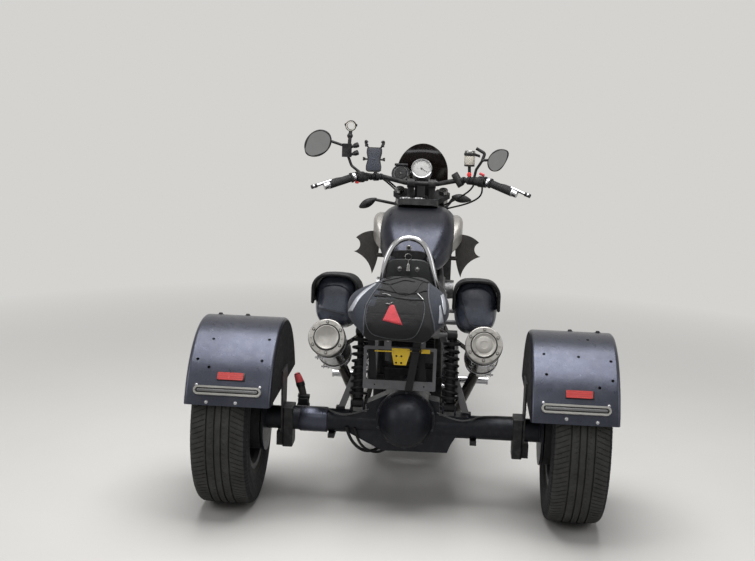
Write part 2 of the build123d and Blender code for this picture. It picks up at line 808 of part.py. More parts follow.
def build_shocks():
    solid = rod(shock_point(0.07), shock_point(0.6), 20)
    solid += rod(shock_point(0.5), shock_point(0.95), 11)
    solid += rod(shock_point(0.12), shock_point(0.15), spring_radius + 3)
    solid += rod(shock_point(0.86), shock_point(0.9), spring_radius + 3)
    for share, half, radius in ((0, 19, 17), (1, 18, 19)):
        x, y, z = shock_point(share)
        solid += rod((x, y - half, z), (x, y + half, z), radius)
        solid -= rod((x, y - 40, z), (x, y + 40, z), 8 + seat_gap)
    return both_sides(solid)


def build_springs():
    """Coil springs between the dampers' collars, closed by their flat end turns."""
    low, high = Vector(*shock_point(0.15)), Vector(*shock_point(0.86))
    length = (high - low).length - 2 * spring_wire_radius - 2 * seat_gap
    helix = Helix(length / spring_turns, length, spring_radius - spring_wire_radius)
    section = Plane(origin=helix @ 0, z_dir=helix % 0) * Circle(spring_wire_radius)
    wire = sweep(section, path=helix, is_frenet=True)
    start = low + (high - low).normalized() * (spring_wire_radius + seat_gap)
    return both_sides(Location(Plane(origin=start, z_dir=high - low)) * wire)


# Plate frame, coupling bracket and lines on the axle
plate_x = subframe_rear_x - subframe_tube_radius - seat_gap


plate_y = 15.5
plate_half = 132.5
plate_low_z = axle_z + 152
plate_high_z = 640


def build_plate_frame():
    """The open frame for a registration plate, hung by two tabs from the subframe's loop."""
    left, right, bar, bottom_bar = plate_y + plate_half, plate_y - plate_half, 12, 34
    low, high = plate_low_z, plate_high_z
    outer = cross_plate([(right, low), (left, low), (left, high), (right, high)], plate_x - 4, 4)
    outer = fillet(outer.edges().filter_by(Axis.X), 5)
    inner = [(right + bar, low + bottom_bar), (left - bar, low + bottom_bar), (left - bar, high - 12),
             (right + bar, high - 12)]
    solid = outer - cross_plate(inner, plate_x - 10, 20)
    for y in (-62, 62):
        tab = [(y - 13, high - 10), (y + 13, high - 10), (y + 13, 700), (y - 13, 700)]
        solid += cross_plate(tab, plate_x - 4, 4)
        for z in (subframe_z, subframe_z - 26):
            solid -= rod((plate_x - 20, y, z), (plate_x + 20, y, z), 3)
    for y in (plate_y - 90, plate_y + 90):
        solid -= rod((plate_x - 20, y, low + 16), (plate_x + 20, y, low + 16), 3.25)
    return solid


def build_hook_bracket():
    """A small drilled bracket with two thin side arms on the plate frame's top bar."""
    x = plate_x - 4 - seat_gap
    top = plate_high_z - 4
    outline = [(-7, -62), (37, -62), (46, -20), (46, 0), (-19, 0), (-19, -20)]
    solid = cross_plate([(y, top + drop) for y, drop in outline], x - 3, 3)
    for y in (11, 29):
        for z in (top - 29, top - 54):
            solid -= rod((x - 10, y, z), (x + 10, y, z), 4)
    solid += rod((x - 3, 40, top - 12), (x - 3, 108, top - 13), 2.6)
    solid += rod((x - 3, -12, top - 8), (x - 3, -66, top - 8), 2.6)
    return solid + cross_plate([(-60, top - 15), (-92, top - 15), (-92, top), (-60, top)], x - 3, 3)


def build_brake_lines():
    """Steel pipes along the axle tube and the two flexible hoses up to the frame."""
    top = axle_z + axle_tube_radius + 3 + seat_gap
    back = -36 - 3 - seat_gap
    pipe = [
        (0, 406, top), (0, 290, top), (back - 8, 258, top - 4),
        (back, 200, axle_z + 30), (back, 126, axle_z + 60),
    ]
    pipe = tube(pipe, 3, 10)
    hose = [
        (back - 8.3, 206, -12), (back - 12, 190, -66), (-10, 130, -120),
        (90, 72, -118), (200, 66, -78), (262, 70, -28),
    ]
    second = [
        (back - 6, 176, -16), (back - 8, 160, -78), (0, 96, -124),
        (90, 46, -122), (190, 44, -70), (246, 60, -28),
    ]
    hose = tube([(x, y, axle_z + lift) for x, y, lift in hose], 6, 26)
    second = tube([(x, y, axle_z + lift) for x, y, lift in second], 5, 24)
    return both_sides(pipe) + hose + second


def build_hand_brake():
    """A short parking lever that leans outward from its base block."""
    base = block((78, 128), (369, 405), (axle_z + 22 + seat_gap, axle_z + 52))
    foot = (100, 384, axle_z + 48)
    knee = (106, 402, axle_z + 106)
    lever = cone(foot, knee, 12, 14)
    tip = cone(knee, (110, 416, axle_z + 142), 15, 11)
    return base + lever + tip


# Leg shields, pegs and their brackets
wing_tips = [
    # y, z of each tip, then y, z of the middle of the curved edge that leads to the next one
    ((172, 930), (224, 926)),
    ((268, 899), (249, 872)),
    ((276, 838), (226, 808)),
    ((194, 742), (174, 800)),
    ((166, 860), (166, 896)),
]


def build_leg_shields():
    """Two wind plates with scalloped outer edges on short arms from the frame."""
    plane = Plane(origin=(station(850), 0, 0), x_dir=(0, 1, 0), z_dir=(1, 0, 0))
    edges = []
    for (tip, middle), (end, _) in zip(wing_tips, wing_tips[1:] + wing_tips[:1]):
        edges.append(ThreePointArc(tip, middle, end))
    plate = extrude(plane * make_face(edges), 5)
    arm = rod((station(852), 128, 826), (station(852), 176, 826), 9)
    solid = both_sides(plate + arm) - frame_rails(frame_tube_radius + seat_gap)
    solid = solid - build_tank() - build_air_scoops()
    parts = solid.solids().sort_by(SortBy.VOLUME)
    return Part() + [parts[-1], parts[-2]]


def build_foot_pegs():
    peg_x, stub_x = station(600), station(483)
    peg = rod((peg_x, 196, 352), (peg_x, 322, 352), 15)
    peg += rod((peg_x, 322, 352), (peg_x, 328, 352), 17)
    plate = side_plate(stretched([(474, 330), (480, 372), (612, 372), (612, 332), (540, 316)]), 190, 7)
    stub = rod((stub_x, 136, 350), (stub_x, 192, 350), 10)
    return both_sides(peg + plate + stub)


# Front fork, wheel and mudguard
axle_offset = fork_offset
clamp_half_outline = [
    (-44, 34), (0, 70), (axle_offset, fork_half_spacing + 34),
    (axle_offset + 30, fork_half_spacing), (axle_offset + 30, fork_half_spacing - 30), (30, 30),
]


def build_triple_clamps():
    """Two fork clamps on the steering stem."""
    upright = (Align.CENTER, Align.CENTER, Align.MIN)
    outline = clamp_half_outline + [(x, -y) for x, y in reversed(clamp_half_outline)]
    solid = None
    for z in (lower_clamp_z, upper_clamp_z):
        plate = Pos(0, 0, z) * extrude(make_face(Polyline(*outline, close=True)), clamp_thickness)
        plate = fillet(plate.edges().filter_by(Axis.Z), 8)
        solid = plate if solid is None else solid + plate
    top = upper_clamp_z + clamp_thickness
    solid += Pos(0, 0, lower_clamp_z) * Cylinder(stem_radius, top - lower_clamp_z, align=upright)
    solid += Pos(0, 0, top) * Cylinder(16, 12, align=upright)
    for y in (-fork_half_spacing, fork_half_spacing):
        solid -= Pos(axle_offset, y, 500) * Cylinder(fork_tube_radius + seat_gap, 900)
    return steer * solid


def build_fork_legs():
    """Sliders with their seals, fork tubes, the wheel's axle and the two brake calipers."""
    upright = (Align.CENTER, Align.CENTER, Align.MIN)
    tube_top = upper_clamp_z + clamp_thickness + 18
    solid = None
    for side in (1, -1):
        y = side * fork_half_spacing
        joint = Pos(axle_offset, y, slider_top)
        leg = Pos(axle_offset, y, -34) * Cylinder(slider_radius, slider_top + 34, align=upright)
        leg += joint * Cylinder(fork_tube_radius, tube_top - slider_top, align=upright)
        leg += joint * Cylinder(slider_radius + 3, 16, align=upright)
        leg += Pos(axle_offset - 46, y, 90) * Box(50, 26, 92)
        solid = leg if solid is None else solid + leg
    solid += Location((axle_offset, 0, 0), (90, 0, 0)) * Cylinder(9, 2 * fork_half_spacing)
    for side in (1, -1):
        caliper = Pos(axle_offset - 104, side * 68, 92) * Box(74, 62, 84)
        caliper = fillet(caliper.edges().filter_by(Axis.Y), 6)
        caliper -= Location((axle_offset, side * disc_y, 0), (90, 0, 0)) * Cylinder(
            disc_radius + running_gap, disc_thickness + 2 * running_gap
        )
        solid += caliper
    return steer * solid


def front_wheel_profile():
    rim = front_rim_radius
    return [
        (rim - 12, -38), (rim + 8, -42), (rim + 8, -38), (rim, -34), (rim, 34), (rim + 8, 38),
        (rim + 8, 42), (rim - 12, 38), (rim - 22, 12), (rim - 22, -12),
    ]


def build_front_wheel():
    """A cast five-spoke wheel about its own axle."""
    x, z = wheelbase, front_tyre_radius
    solid = wheel_turned(ring_profile(front_wheel_profile()), x, 0, z, 1)
    half_hub = [(32, -30), (40, -20), (40, 20), (32, 30)]
    hub = [(9.3, -70), (32, -70)] + half_hub + [(32, 70), (9.3, 70)]
    solid += wheel_turned(ring_profile(hub), x, 0, z, 1)
    reach = front_rim_radius - 14
    half_spoke = [(30, 24), (120, 13), (reach, 26)]
    outline = [(x, -y) for x, y in half_spoke] + list(reversed(half_spoke))
    spoke = extrude(make_face(Polyline(*outline, close=True)), 15, both=True)
    spoke -= Pos(122, 0, 0) * Box(120, 9, 60)
    for step in range(5):
        solid += Location((x, 0, z), (90, 0, 0)) * Rot(0, 0, 72 * step + 18) * spoke
    return solid


def build_front_tyre():
    solid = tyre(front_tyre_radius, front_tyre_width, front_rim_radius, 20, 22)
    solid = Pos(wheelbase, 0, front_tyre_radius) * Rot(90, 0, 0) * solid
    return solid - wheel_turned(ring_profile(front_wheel_profile()), wheelbase, 0, front_tyre_radius, 1)


def build_front_discs():
    x, z = wheelbase, front_tyre_radius
    disc = rod((x, disc_y - disc_thickness / 2, z), (x, disc_y + disc_thickness / 2, z), disc_radius)
    disc -= rod((x, disc_y - 10, z), (x, disc_y + 10, z), 32 + seat_gap)
    for step in range(8):
        angle = math.radians(45 * step)
        hole_x, hole_z = x + 84 * math.cos(angle), z + 84 * math.sin(angle)
        disc -= rod((hole_x, disc_y - 10, hole_z), (hole_x, disc_y + 10, hole_z), 17)
    return both_sides(disc)


def build_front_guard():
    """A bent sheet with turned-in sides over the front tyre, held between the sliders."""
    inner = front_tyre_radius + 16
    outer = inner + 4
    skirt = inner - 46
    half = front_tyre_width / 2 + running_gap
    half_profile = [(inner, half), (skirt, half + 3), (skirt, half + 7), (outer, half + 4)]
    profile = half_profile + [(radius, -y) for radius, y in reversed(half_profile)]
    face = make_face([Plane.XZ * edge for edge in Polyline(*profile, close=True).edges()])
    start = Location((wheelbase, 0, front_tyre_radius), (90, 0, 0)) * Rot(0, 0, 50)
    arc = start * revolve(face, Axis.Z, 128)
    stay_width = 2 * (fork_half_spacing - slider_radius) - 2 * seat_gap
    return arc + steer * Pos(axle_offset, 0, front_tyre_radius + 24) * Box(26, stay_width, 8)


# Cockpit: headlight, screen, bars and everything that turns with them
bar_half_path = [
    ahead(-139, 0, 294), ahead(-139, 70, 294), ahead(-171, 175, 320),
    ahead(-265, 298, 322), ahead(-317, 408, 284),
]


def bar_point(distance):
    """A point on the left bar's last straight, measured inward from its end."""
    end, knee = Vector(*bar_half_path[4]), Vector(*bar_half_path[3])
    point = end + (knee - end).normalized() * distance
    return (point.X, point.Y, point.Z)


def perch_point(distance):
    """A point on the left bar's middle straight, measured inward from the grip's knee."""
    knee, inner = Vector(*bar_half_path[3]), Vector(*bar_half_path[2])
    point = knee + (inner - knee).normalized() * distance
    return (point.X, point.Y, point.Z)


def bar_tube(radius):
    right = [(x, -y, z) for x, y, z in bar_half_path[:0:-1]]
    return tube(right + bar_half_path[1:], radius, 45)


def build_handlebar():
    """The bent bar in two clamps on risers from the upper fork clamp."""
    solid = bar_tube(bar_radius)
    bar_x, _, bar_z = bar_half_path[0]
    clamp_top = upper_clamp_z + clamp_thickness + seat_gap
    foot = steer_point(-8, 0, clamp_top)
    for y in (-48, 48):
        solid += rod((foot[0] + 2, y, foot[2] + 1), (bar_x, y, bar_z), 15)
        solid += rod((bar_x, y - 17, bar_z), (bar_x, y + 17, bar_z), 21)
    return solid - steer * Pos(0, 0, clamp_top - 40) * Box(200, 300, 80)


def build_grips():
    grip = rod(bar_point(6), bar_point(6 + grip_length), grip_radius)
    grip += rod(bar_point(2 + grip_length), bar_point(10 + grip_length), grip_radius + 5)
    return both_sides(grip - bar_tube(bar_radius))


def build_bar_ends():
    """Turned weights that close the bar's open ends."""
    weight = rod(bar_point(5.7), bar_point(-16), 15)
    return both_sides(weight - bar_tube(bar_radius))


def build_controls():
    """Switch pods, lever perches and levers, with the fluid cup on the right."""
    pod = rod(perch_point(14), perch_point(50), 24) + rod(perch_point(49), perch_point(70), 19)
    perch = perch_point(60)
    pivot = (perch[0] + 36, perch[1] + 22, perch[2])
    pod += rod(perch, pivot, 9)
    pod += tube([pivot, ahead(-241, 376, 308), ahead(-287, 470, 276)], 6, 40)
    pod += rod(ahead(-281, 460, 279), ahead(-293, 482, 272), 9)
    right = mirror(pod, about=Plane.XZ)
    x, y, z = perch_point(104)
    right += mirror(rod(perch_point(96), perch_point(112), 18), about=Plane.XZ)
    cup_x, cup_y = x + 4, 4 - y
    right += rod((x, -y, z), (cup_x, cup_y, z + 66), 7)
    right += rod((cup_x, cup_y, z + 64), (cup_x, cup_y, z + 132), 23)
    return pod + right - bar_tube(bar_radius)


gauge_centre = ahead(-119, 3, 360)


def gauge_axis_point(distance):
    """A point along the gauge's axis, forward and down from its face."""
    tilt = math.radians(gauge_tilt_deg)
    x, y, z = gauge_centre
    return (x + distance * math.cos(tilt), y, z - distance * math.sin(tilt))


def build_gauge():
    """The round gauge in its bezel, the dark pod beside it and the foot that holds both."""
    solid = rod(gauge_axis_point(0), gauge_axis_point(46), 47.5)
    solid += cone(gauge_axis_point(46), gauge_axis_point(58), 44, 28)
    solid -= rod(gauge_axis_point(-1), gauge_axis_point(4), 42)
    solid += rod(ahead(-115, 97, 334), ahead(-91, 97, 325), 41)
    solid += rod(ahead(-81, 20, 340), ahead(-98, 80, 330), 8)
    clamp_top = upper_clamp_z + clamp_thickness + seat_gap
    foot = steer_point(20, 0, clamp_top)
    solid += block((foot[0] - 2, foot[0] + 14), (-14, 20), (foot[2] - 10, head_z + 340))
    solid -= steer * Pos(0, 0, clamp_top - 40) * Box(200, 300, 80)
    return solid - bar_tube(bar_radius + running_gap)


def build_headlight():
    """A round shell with its lens, held by two ears clamped on the fork tubes."""
    centre_z = head_z + 157
    profile = [
        Line((0, 0), (0, 60)), ThreePointArc((0, 60), (34, 86), (84, 92)), Line((84, 92), (100, 92)),
        Line((100, 92), (100, 84)), ThreePointArc((100, 84), (110, 44), (113, 12)),
        Line((113, 12), (113, 0)), Line((113, 0), (0, 0)),
    ]
    solid = Pos(headlight_back_x, 0, centre_z) * revolve(make_face(profile), Axis.X)
    low, high = steer_point(axle_offset, 0, 690), steer_point(axle_offset, 0, 790)
    for side in (1, -1):
        y = side * fork_half_spacing
        ear = rod((low[0], y, low[2]), (high[0], y, high[2]), fork_tube_radius + 4)
        ear += block((high[0] + 10, head_x + 79), (y - 4, y + 4), (head_z + 130, head_z + 178))
        ear -= steer * Pos(axle_offset, y, 700) * Cylinder(fork_tube_radius + seat_gap, 400)
        reach = fork_half_spacing + 8
        ear += rod(ahead(59, side * 80, 154), ahead(59, side * reach, 154), 9)
        solid += ear
    return solid


headlight_back_x = head_x + 11


screen_lean = Location(ahead(-33, 0, 292), (0, -17, 0))


def build_screen():
    """A bent fly screen: a slice of a leaning tube trimmed to a rounded outline."""
    low = (Align.CENTER, Align.CENTER, Align.MIN)
    shell = Cylinder(screen_radius, 180, align=low) - Cylinder(screen_radius - 3.5, 180, align=low)
    outline = [
        Line((-118, 0), (118, 0)), Line((118, 0), (116, 60)),
        ThreePointArc((116, 60), (0, 176), (-116, 60)), Line((-116, 60), (-118, 0)),
    ]
    keep = extrude(Plane(origin=(0, 0, 0), x_dir=(0, 1, 0), z_dir=(1, 0, 0)) * make_face(outline), 300)
    return screen_lean * Pos(-140, 0, 0) * (shell & keep)


def build_screen_bracket():
    """The strap between the headlight shell and the screen's front face."""
    strap = Cylinder(screen_radius + 12, 300) - Cylinder(screen_radius + seat_gap, 300)
    reach = block((head_x - 51, head_x + 69), (-36, 36), (head_z + 212, head_z + 322))
    strap = (screen_lean * Pos(-140, 0, 0) * strap) & reach
    return strap - build_headlight()


indicator_rows = [
    # side, middle y, middle height over the head, lean outward in degrees
    (1, 250, 181, 30),
    (-1, 184, 219, 8),
]


def build_indicators():
    """Teardrop lamps on stems from the headlight's ears; the two sit at different heights."""
    rows = [
        Line((-46, 0), (46, 0)), Line((46, 0), (46, 4)),
        Spline((46, 4), (28, 15), (4, 20), (-24, 14), (-46, 3)), Line((-46, 3), (-46, 0)),
    ]
    pod = Rot(0, 0, 90) * revolve(make_face(rows), Axis.X)
    solid = None
    for side, y, height, lean_deg in indicator_rows:
        lean = math.radians(lean_deg)
        inner = ahead(-11, side * (y - 34 * math.cos(lean)), height + 34 * math.sin(lean))
        ear = Cylinder(fork_tube_radius + 4 + seat_gap, 400)
        stem = rod(ahead(-11, side * 118, 181), inner, 7)
        stem -= steer * Pos(axle_offset, side * fork_half_spacing, 700) * ear
        piece = stem + Pos(*ahead(-11, side * y, height)) * Rot(-side * lean_deg, 0, 0) * pod
        solid = piece if solid is None else solid + piece
    return solid


mirror_x = -243
left_mirror_outline = [
    # y, height over the head
    (525, 439), (501, 502), (453, 524), (416, 509), (404, 477), (425, 428), (487, 402), (517, 414),
]
right_mirror_outline = [
    (-289, 406), (-302, 443), (-344, 469), (-378, 460), (-369, 409), (-335, 371), (-306, 373),
]


left_mirror_route = [ahead(-240, 312, 370), ahead(-234, 346, 456), ahead(-236, 426, 480)]


def build_mirrors():
    """Two unlike mirrors on bent stems: a teardrop on the left and an oval on the right."""
    def head(outline):
        plate = smooth_plate([(y, head_z + z) for y, z in outline], head_x + mirror_x, 15)
        return fillet(plate.edges(), 4)

    x, y, z = perch_point(32)
    left = tube([(x, y, z + 20)] + left_mirror_route, 6, 26)
    left -= rod(perch_point(4), perch_point(60), 24 + seat_gap)
    left += head(left_mirror_outline)
    x, y, z = perch_point(83)
    right = mirror(rod(perch_point(74), perch_point(92), 18), about=Plane.XZ)
    stem = [ahead(-216, -242, 372), ahead(-234, -268, 416), ahead(-236, -312, 420)]
    right += tube([(x, -y, z)] + stem, 6, 14)
    right += tube([ahead(-232, -266, 412), ahead(-226, -277, 446), ahead(-222, -238, 467)], 7, 10)
    right += head(right_mirror_outline)
    return left + right - bar_tube(bar_radius)


def build_phone_holder():
    """A waisted cradle with two top claws and two side claws on a short arm."""
    place = Location(ahead(-247, 212, 401), (0, -72, 0))
    half = [(55, 24), (49, 34), (30, 34.5), (0, 28), (-30, 34.5), (-49, 34), (-55, 24)]
    face = make_face(Polyline(*half, *[(x, -y) for x, y in reversed(half)], close=True))
    solid = place * extrude(fillet(face.vertices(), 6), 4.5, both=True)
    for side in (1, -1):
        solid += place * square_bar((46, side * 22, 0), (66, side * 36, 3), 7)
        solid += place * Pos(67, side * 38, 8) * Box(18, 9, 20)
        solid += place * Pos(1, side * 34, 0) * Box(7, 22, 6)
        solid += place * Pos(1, side * 46, 5) * Box(13, 5, 16)
    x, y, z = perch_point(118)
    solid += tube([ahead(-245, 212, 398), (x + 2, y + 8, head_z + 378), (x, y, z)], 8, 14)
    solid += rod(perch_point(108), perch_point(128), 18)
    return solid - bar_tube(bar_radius)


camera_ring = ahead(-205, 323, 544)


def build_camera_mount():
    """A ring for a camera, on a jointed post clamped to the left mirror's stem by wing knobs."""
    stem = tube(left_mirror_route, 6 + seat_gap, 26)
    clamp = block((head_x - 252, head_x - 216), (314, 356), (head_z + 408, head_z + 466), 8) - stem
    x, y, z = camera_ring
    post = rod(ahead(-226, 326, 460), ahead(-210, 323, 524), 8) + Pos(*ahead(-214, 325, 500)) * Sphere(13)
    ring = Pos(x, y, z) * Rot(0, 90, 0) * (Cylinder(24, 22) - Cylinder(16, 30))
    solid = clamp + post + ring - Pos(x, y, z) * Rot(0, 90, 0) * Cylinder(16, 30)
    for height in (452, 418):
        solid += rod(ahead(-236, 316, height), ahead(-236, 300, height + 6), 6)
        solid += rod(ahead(-236, 302, height + 5), ahead(-236, 284, height + 12), 10)
    return solid.solids().sort_by(SortBy.VOLUME)[-1]


left_cable_route = [(-187, 262, 332), (-115, 206, 324), (-15, 146, 270), (-13, 74, 214), (-15, 38, 160)]
right_cable_routes = [
    [(-187, -261, 334), (-165, -286, 272), (-119, -240, 216),
     (-77, -102, 172), (-45, -62, 162), (-11, -44, 152)],
    [(-187, -246, 332), (-159, -236, 288), (-123, -190, 244),
     (-77, -100, 188), (-45, -58, 176), (-11, -32, 168)],
]


def build_cables():
    """Control cables from both perches to the back of the headlight shell, slack on the right."""
    routes = []
    for spread in (0, 14):
        inward = [ahead(x, y - spread, z) for x, y, z in left_cable_route]
        routes.append(inward + [(headlight_back_x - seat_gap, 38 - spread, head_z + 160)])
    for rows in right_cable_routes:
        _, y, z = rows[-1]
        route = [ahead(*row) for row in rows]
        routes.append(route + [(headlight_back_x - seat_gap, y, head_z + z)])
    solid = None
    for route in routes:
        cable = tube(route, 4, 12)
        solid = cable if solid is None else solid + cable
    return solid


NODES = {
    "frame": build_frame,
    "subframe": build_subframe,
    "engine_block": build_engine_block,
    "cylinders": build_cylinders,
    "head_covers": build_head_covers,
    "carburettors": build_carburettors,
    "radiator": build_radiator,
    "tank": build_tank,
    "air_scoops": build_air_scoops,
    "dash_console": build_dash_console,
    "seat": build_seat,
    "tail_bag": build_tail_bag,
    "grab_hoop": build_grab_hoop,
    "saddlebag_left": lambda: build_saddlebag(1),
    "saddlebag_right": lambda: build_saddlebag(-1),
    "mufflers": build_mufflers,
    "muffler_caps": build_muffler_caps,
    "exhaust_pipes": build_exhaust_pipes,
    "axle_housing": build_axle_housing,
    "diff_cover": build_diff_cover,
    "axle_brackets": build_axle_brackets,
    "swing_arms": build_swing_arms,
    "prop_shaft": build_prop_shaft,
    "shocks": build_shocks,
    "springs": build_springs,
    "guard_left": lambda: build_guard(1),
    "guard_right": lambda: build_guard(-1),
    "light_bars": build_light_bars,
    "reflectors": build_reflectors,
    "plate_frame": build_plate_frame,
    "hook_bracket": build_hook_bracket,
    "brake_lines": build_brake_lines,
    "hand_brake": build_hand_brake,
    "leg_shields": build_leg_shields,
    "foot_pegs": build_foot_pegs,
    "rear_wheel_left": lambda: build_rear_wheel(1),
    "rear_wheel_right": lambda: build_rear_wheel(-1),
    "rear_tyre_left": lambda: build_rear_tyre(1),
    "rear_tyre_right": lambda: build_rear_tyre(-1),
    "triple_clamps": build_triple_clamps,
    "fork_legs": build_fork_legs,
    "front_guard": build_front_guard,
    "handlebar": build_handlebar,
    "grips": build_grips,
    "bar_ends": build_bar_ends,
    "controls": build_controls,
    "gauge": build_gauge,
    "headlight": build_headlight,
    "screen": build_screen,
    "screen_bracket": build_screen_bracket,
    "indicators": build_indicators,
    "mirrors": build_mirrors,
    "phone_holder": build_phone_holder,
    "camera_mount": build_camera_mount,
    "cables": build_cables,
    "front_wheel": build_front_wheel,
    "front_tyre": build_front_tyre,
    "front_discs": build_front_discs,
}

# The vehicle is moved so that its length is centred over the origin.
front_end = wheelbase + front_tyre_radius
rear_end = -rear_tyre_radius
middle_x = (front_end + rear_end) / 2

if __name__ == "__main__":
    os.makedirs("parts", exist_ok=True)
    for name, build in NODES.items():
        export_step(Pos(-middle_x, 0, 0) * build(), "parts/" + name + ".step")
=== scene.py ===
import math

import bmesh
import bpy
from mathutils import Matrix, Vector
from mathutils.bvhtree import BVHTree
from mathutils.kdtree import KDTree


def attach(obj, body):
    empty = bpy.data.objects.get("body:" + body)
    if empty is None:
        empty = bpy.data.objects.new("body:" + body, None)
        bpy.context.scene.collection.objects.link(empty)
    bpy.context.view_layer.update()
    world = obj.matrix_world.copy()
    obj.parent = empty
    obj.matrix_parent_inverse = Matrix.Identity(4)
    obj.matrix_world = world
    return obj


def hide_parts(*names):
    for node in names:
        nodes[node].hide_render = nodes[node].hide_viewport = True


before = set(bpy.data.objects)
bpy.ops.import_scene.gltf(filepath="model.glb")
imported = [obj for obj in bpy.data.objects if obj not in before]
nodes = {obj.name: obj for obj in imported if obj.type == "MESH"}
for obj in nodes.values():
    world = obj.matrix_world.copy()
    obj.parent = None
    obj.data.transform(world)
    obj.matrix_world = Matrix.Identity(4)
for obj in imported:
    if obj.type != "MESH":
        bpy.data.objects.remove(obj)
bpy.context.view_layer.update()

# The rear axle stands at x = -0.8 in the scene. Points below are written in millimetres
# from the floor under that axle: forward, to the rider's left, up.
rear_axle_x = -0.8
headstock_x = 1251.3
headstock_z = 827.6
wheelbase = 1600
wheel_radius = 328
rear_wheel_y = 635
sides = (("left", 1), ("right", -1))

fore = Vector((1, 0, 0))
back = Vector((-1, 0, 0))
leftward = Vector((0, 1, 0))
upward = Vector((0, 0, 1))
downward = Vector((0, 0, -1))


def at(x, y, z):
    """A point given in millimetres from the floor under the rear axle, in metres."""
    return Vector((rear_axle_x + x / 1000, y / 1000, z / 1000))


def ahead(x, y, z):
    """A point of the front end, given in millimetres from the foot of the headstock."""
    return at(headstock_x + x, y, headstock_z + z)


# Camera, at the photograph's place and angle

photo_width = 755
photo_height = 561
focal_pixels = 1200.0
camera_yaw = 0.0639671
camera_pitch = 0.1769245
camera_roll = 0.0354141
camera_place = (-4316.8, -163.5, 1638.5)
sight = {}


def make_camera():
    forward = Vector((
        math.cos(camera_yaw) * math.cos(camera_pitch),
        math.sin(camera_yaw) * math.cos(camera_pitch),
        -math.sin(camera_pitch),
    ))
    level_right = Vector((math.sin(camera_yaw), -math.cos(camera_yaw), 0))
    level_up = level_right.cross(forward)
    right = level_right * math.cos(camera_roll) + level_up * math.sin(camera_roll)
    up = level_up * math.cos(camera_roll) - level_right * math.sin(camera_roll)
    data = bpy.data.cameras.new("photo_camera")
    data.sensor_fit = "HORIZONTAL"
    data.sensor_width = 36
    data.lens = focal_pixels / photo_width * data.sensor_width
    data.clip_end = 200
    camera = bpy.data.objects.new("photo_camera", data)
    bpy.context.scene.collection.objects.link(camera)
    turn = Matrix((right, up, -forward)).transposed().to_4x4()
    eye = at(*camera_place)
    camera.matrix_world = Matrix.Translation(eye) @ turn
    bpy.context.scene.camera = camera
    sight.update(eye=eye, forward=forward, right=right, up=up)


# Node material helpers


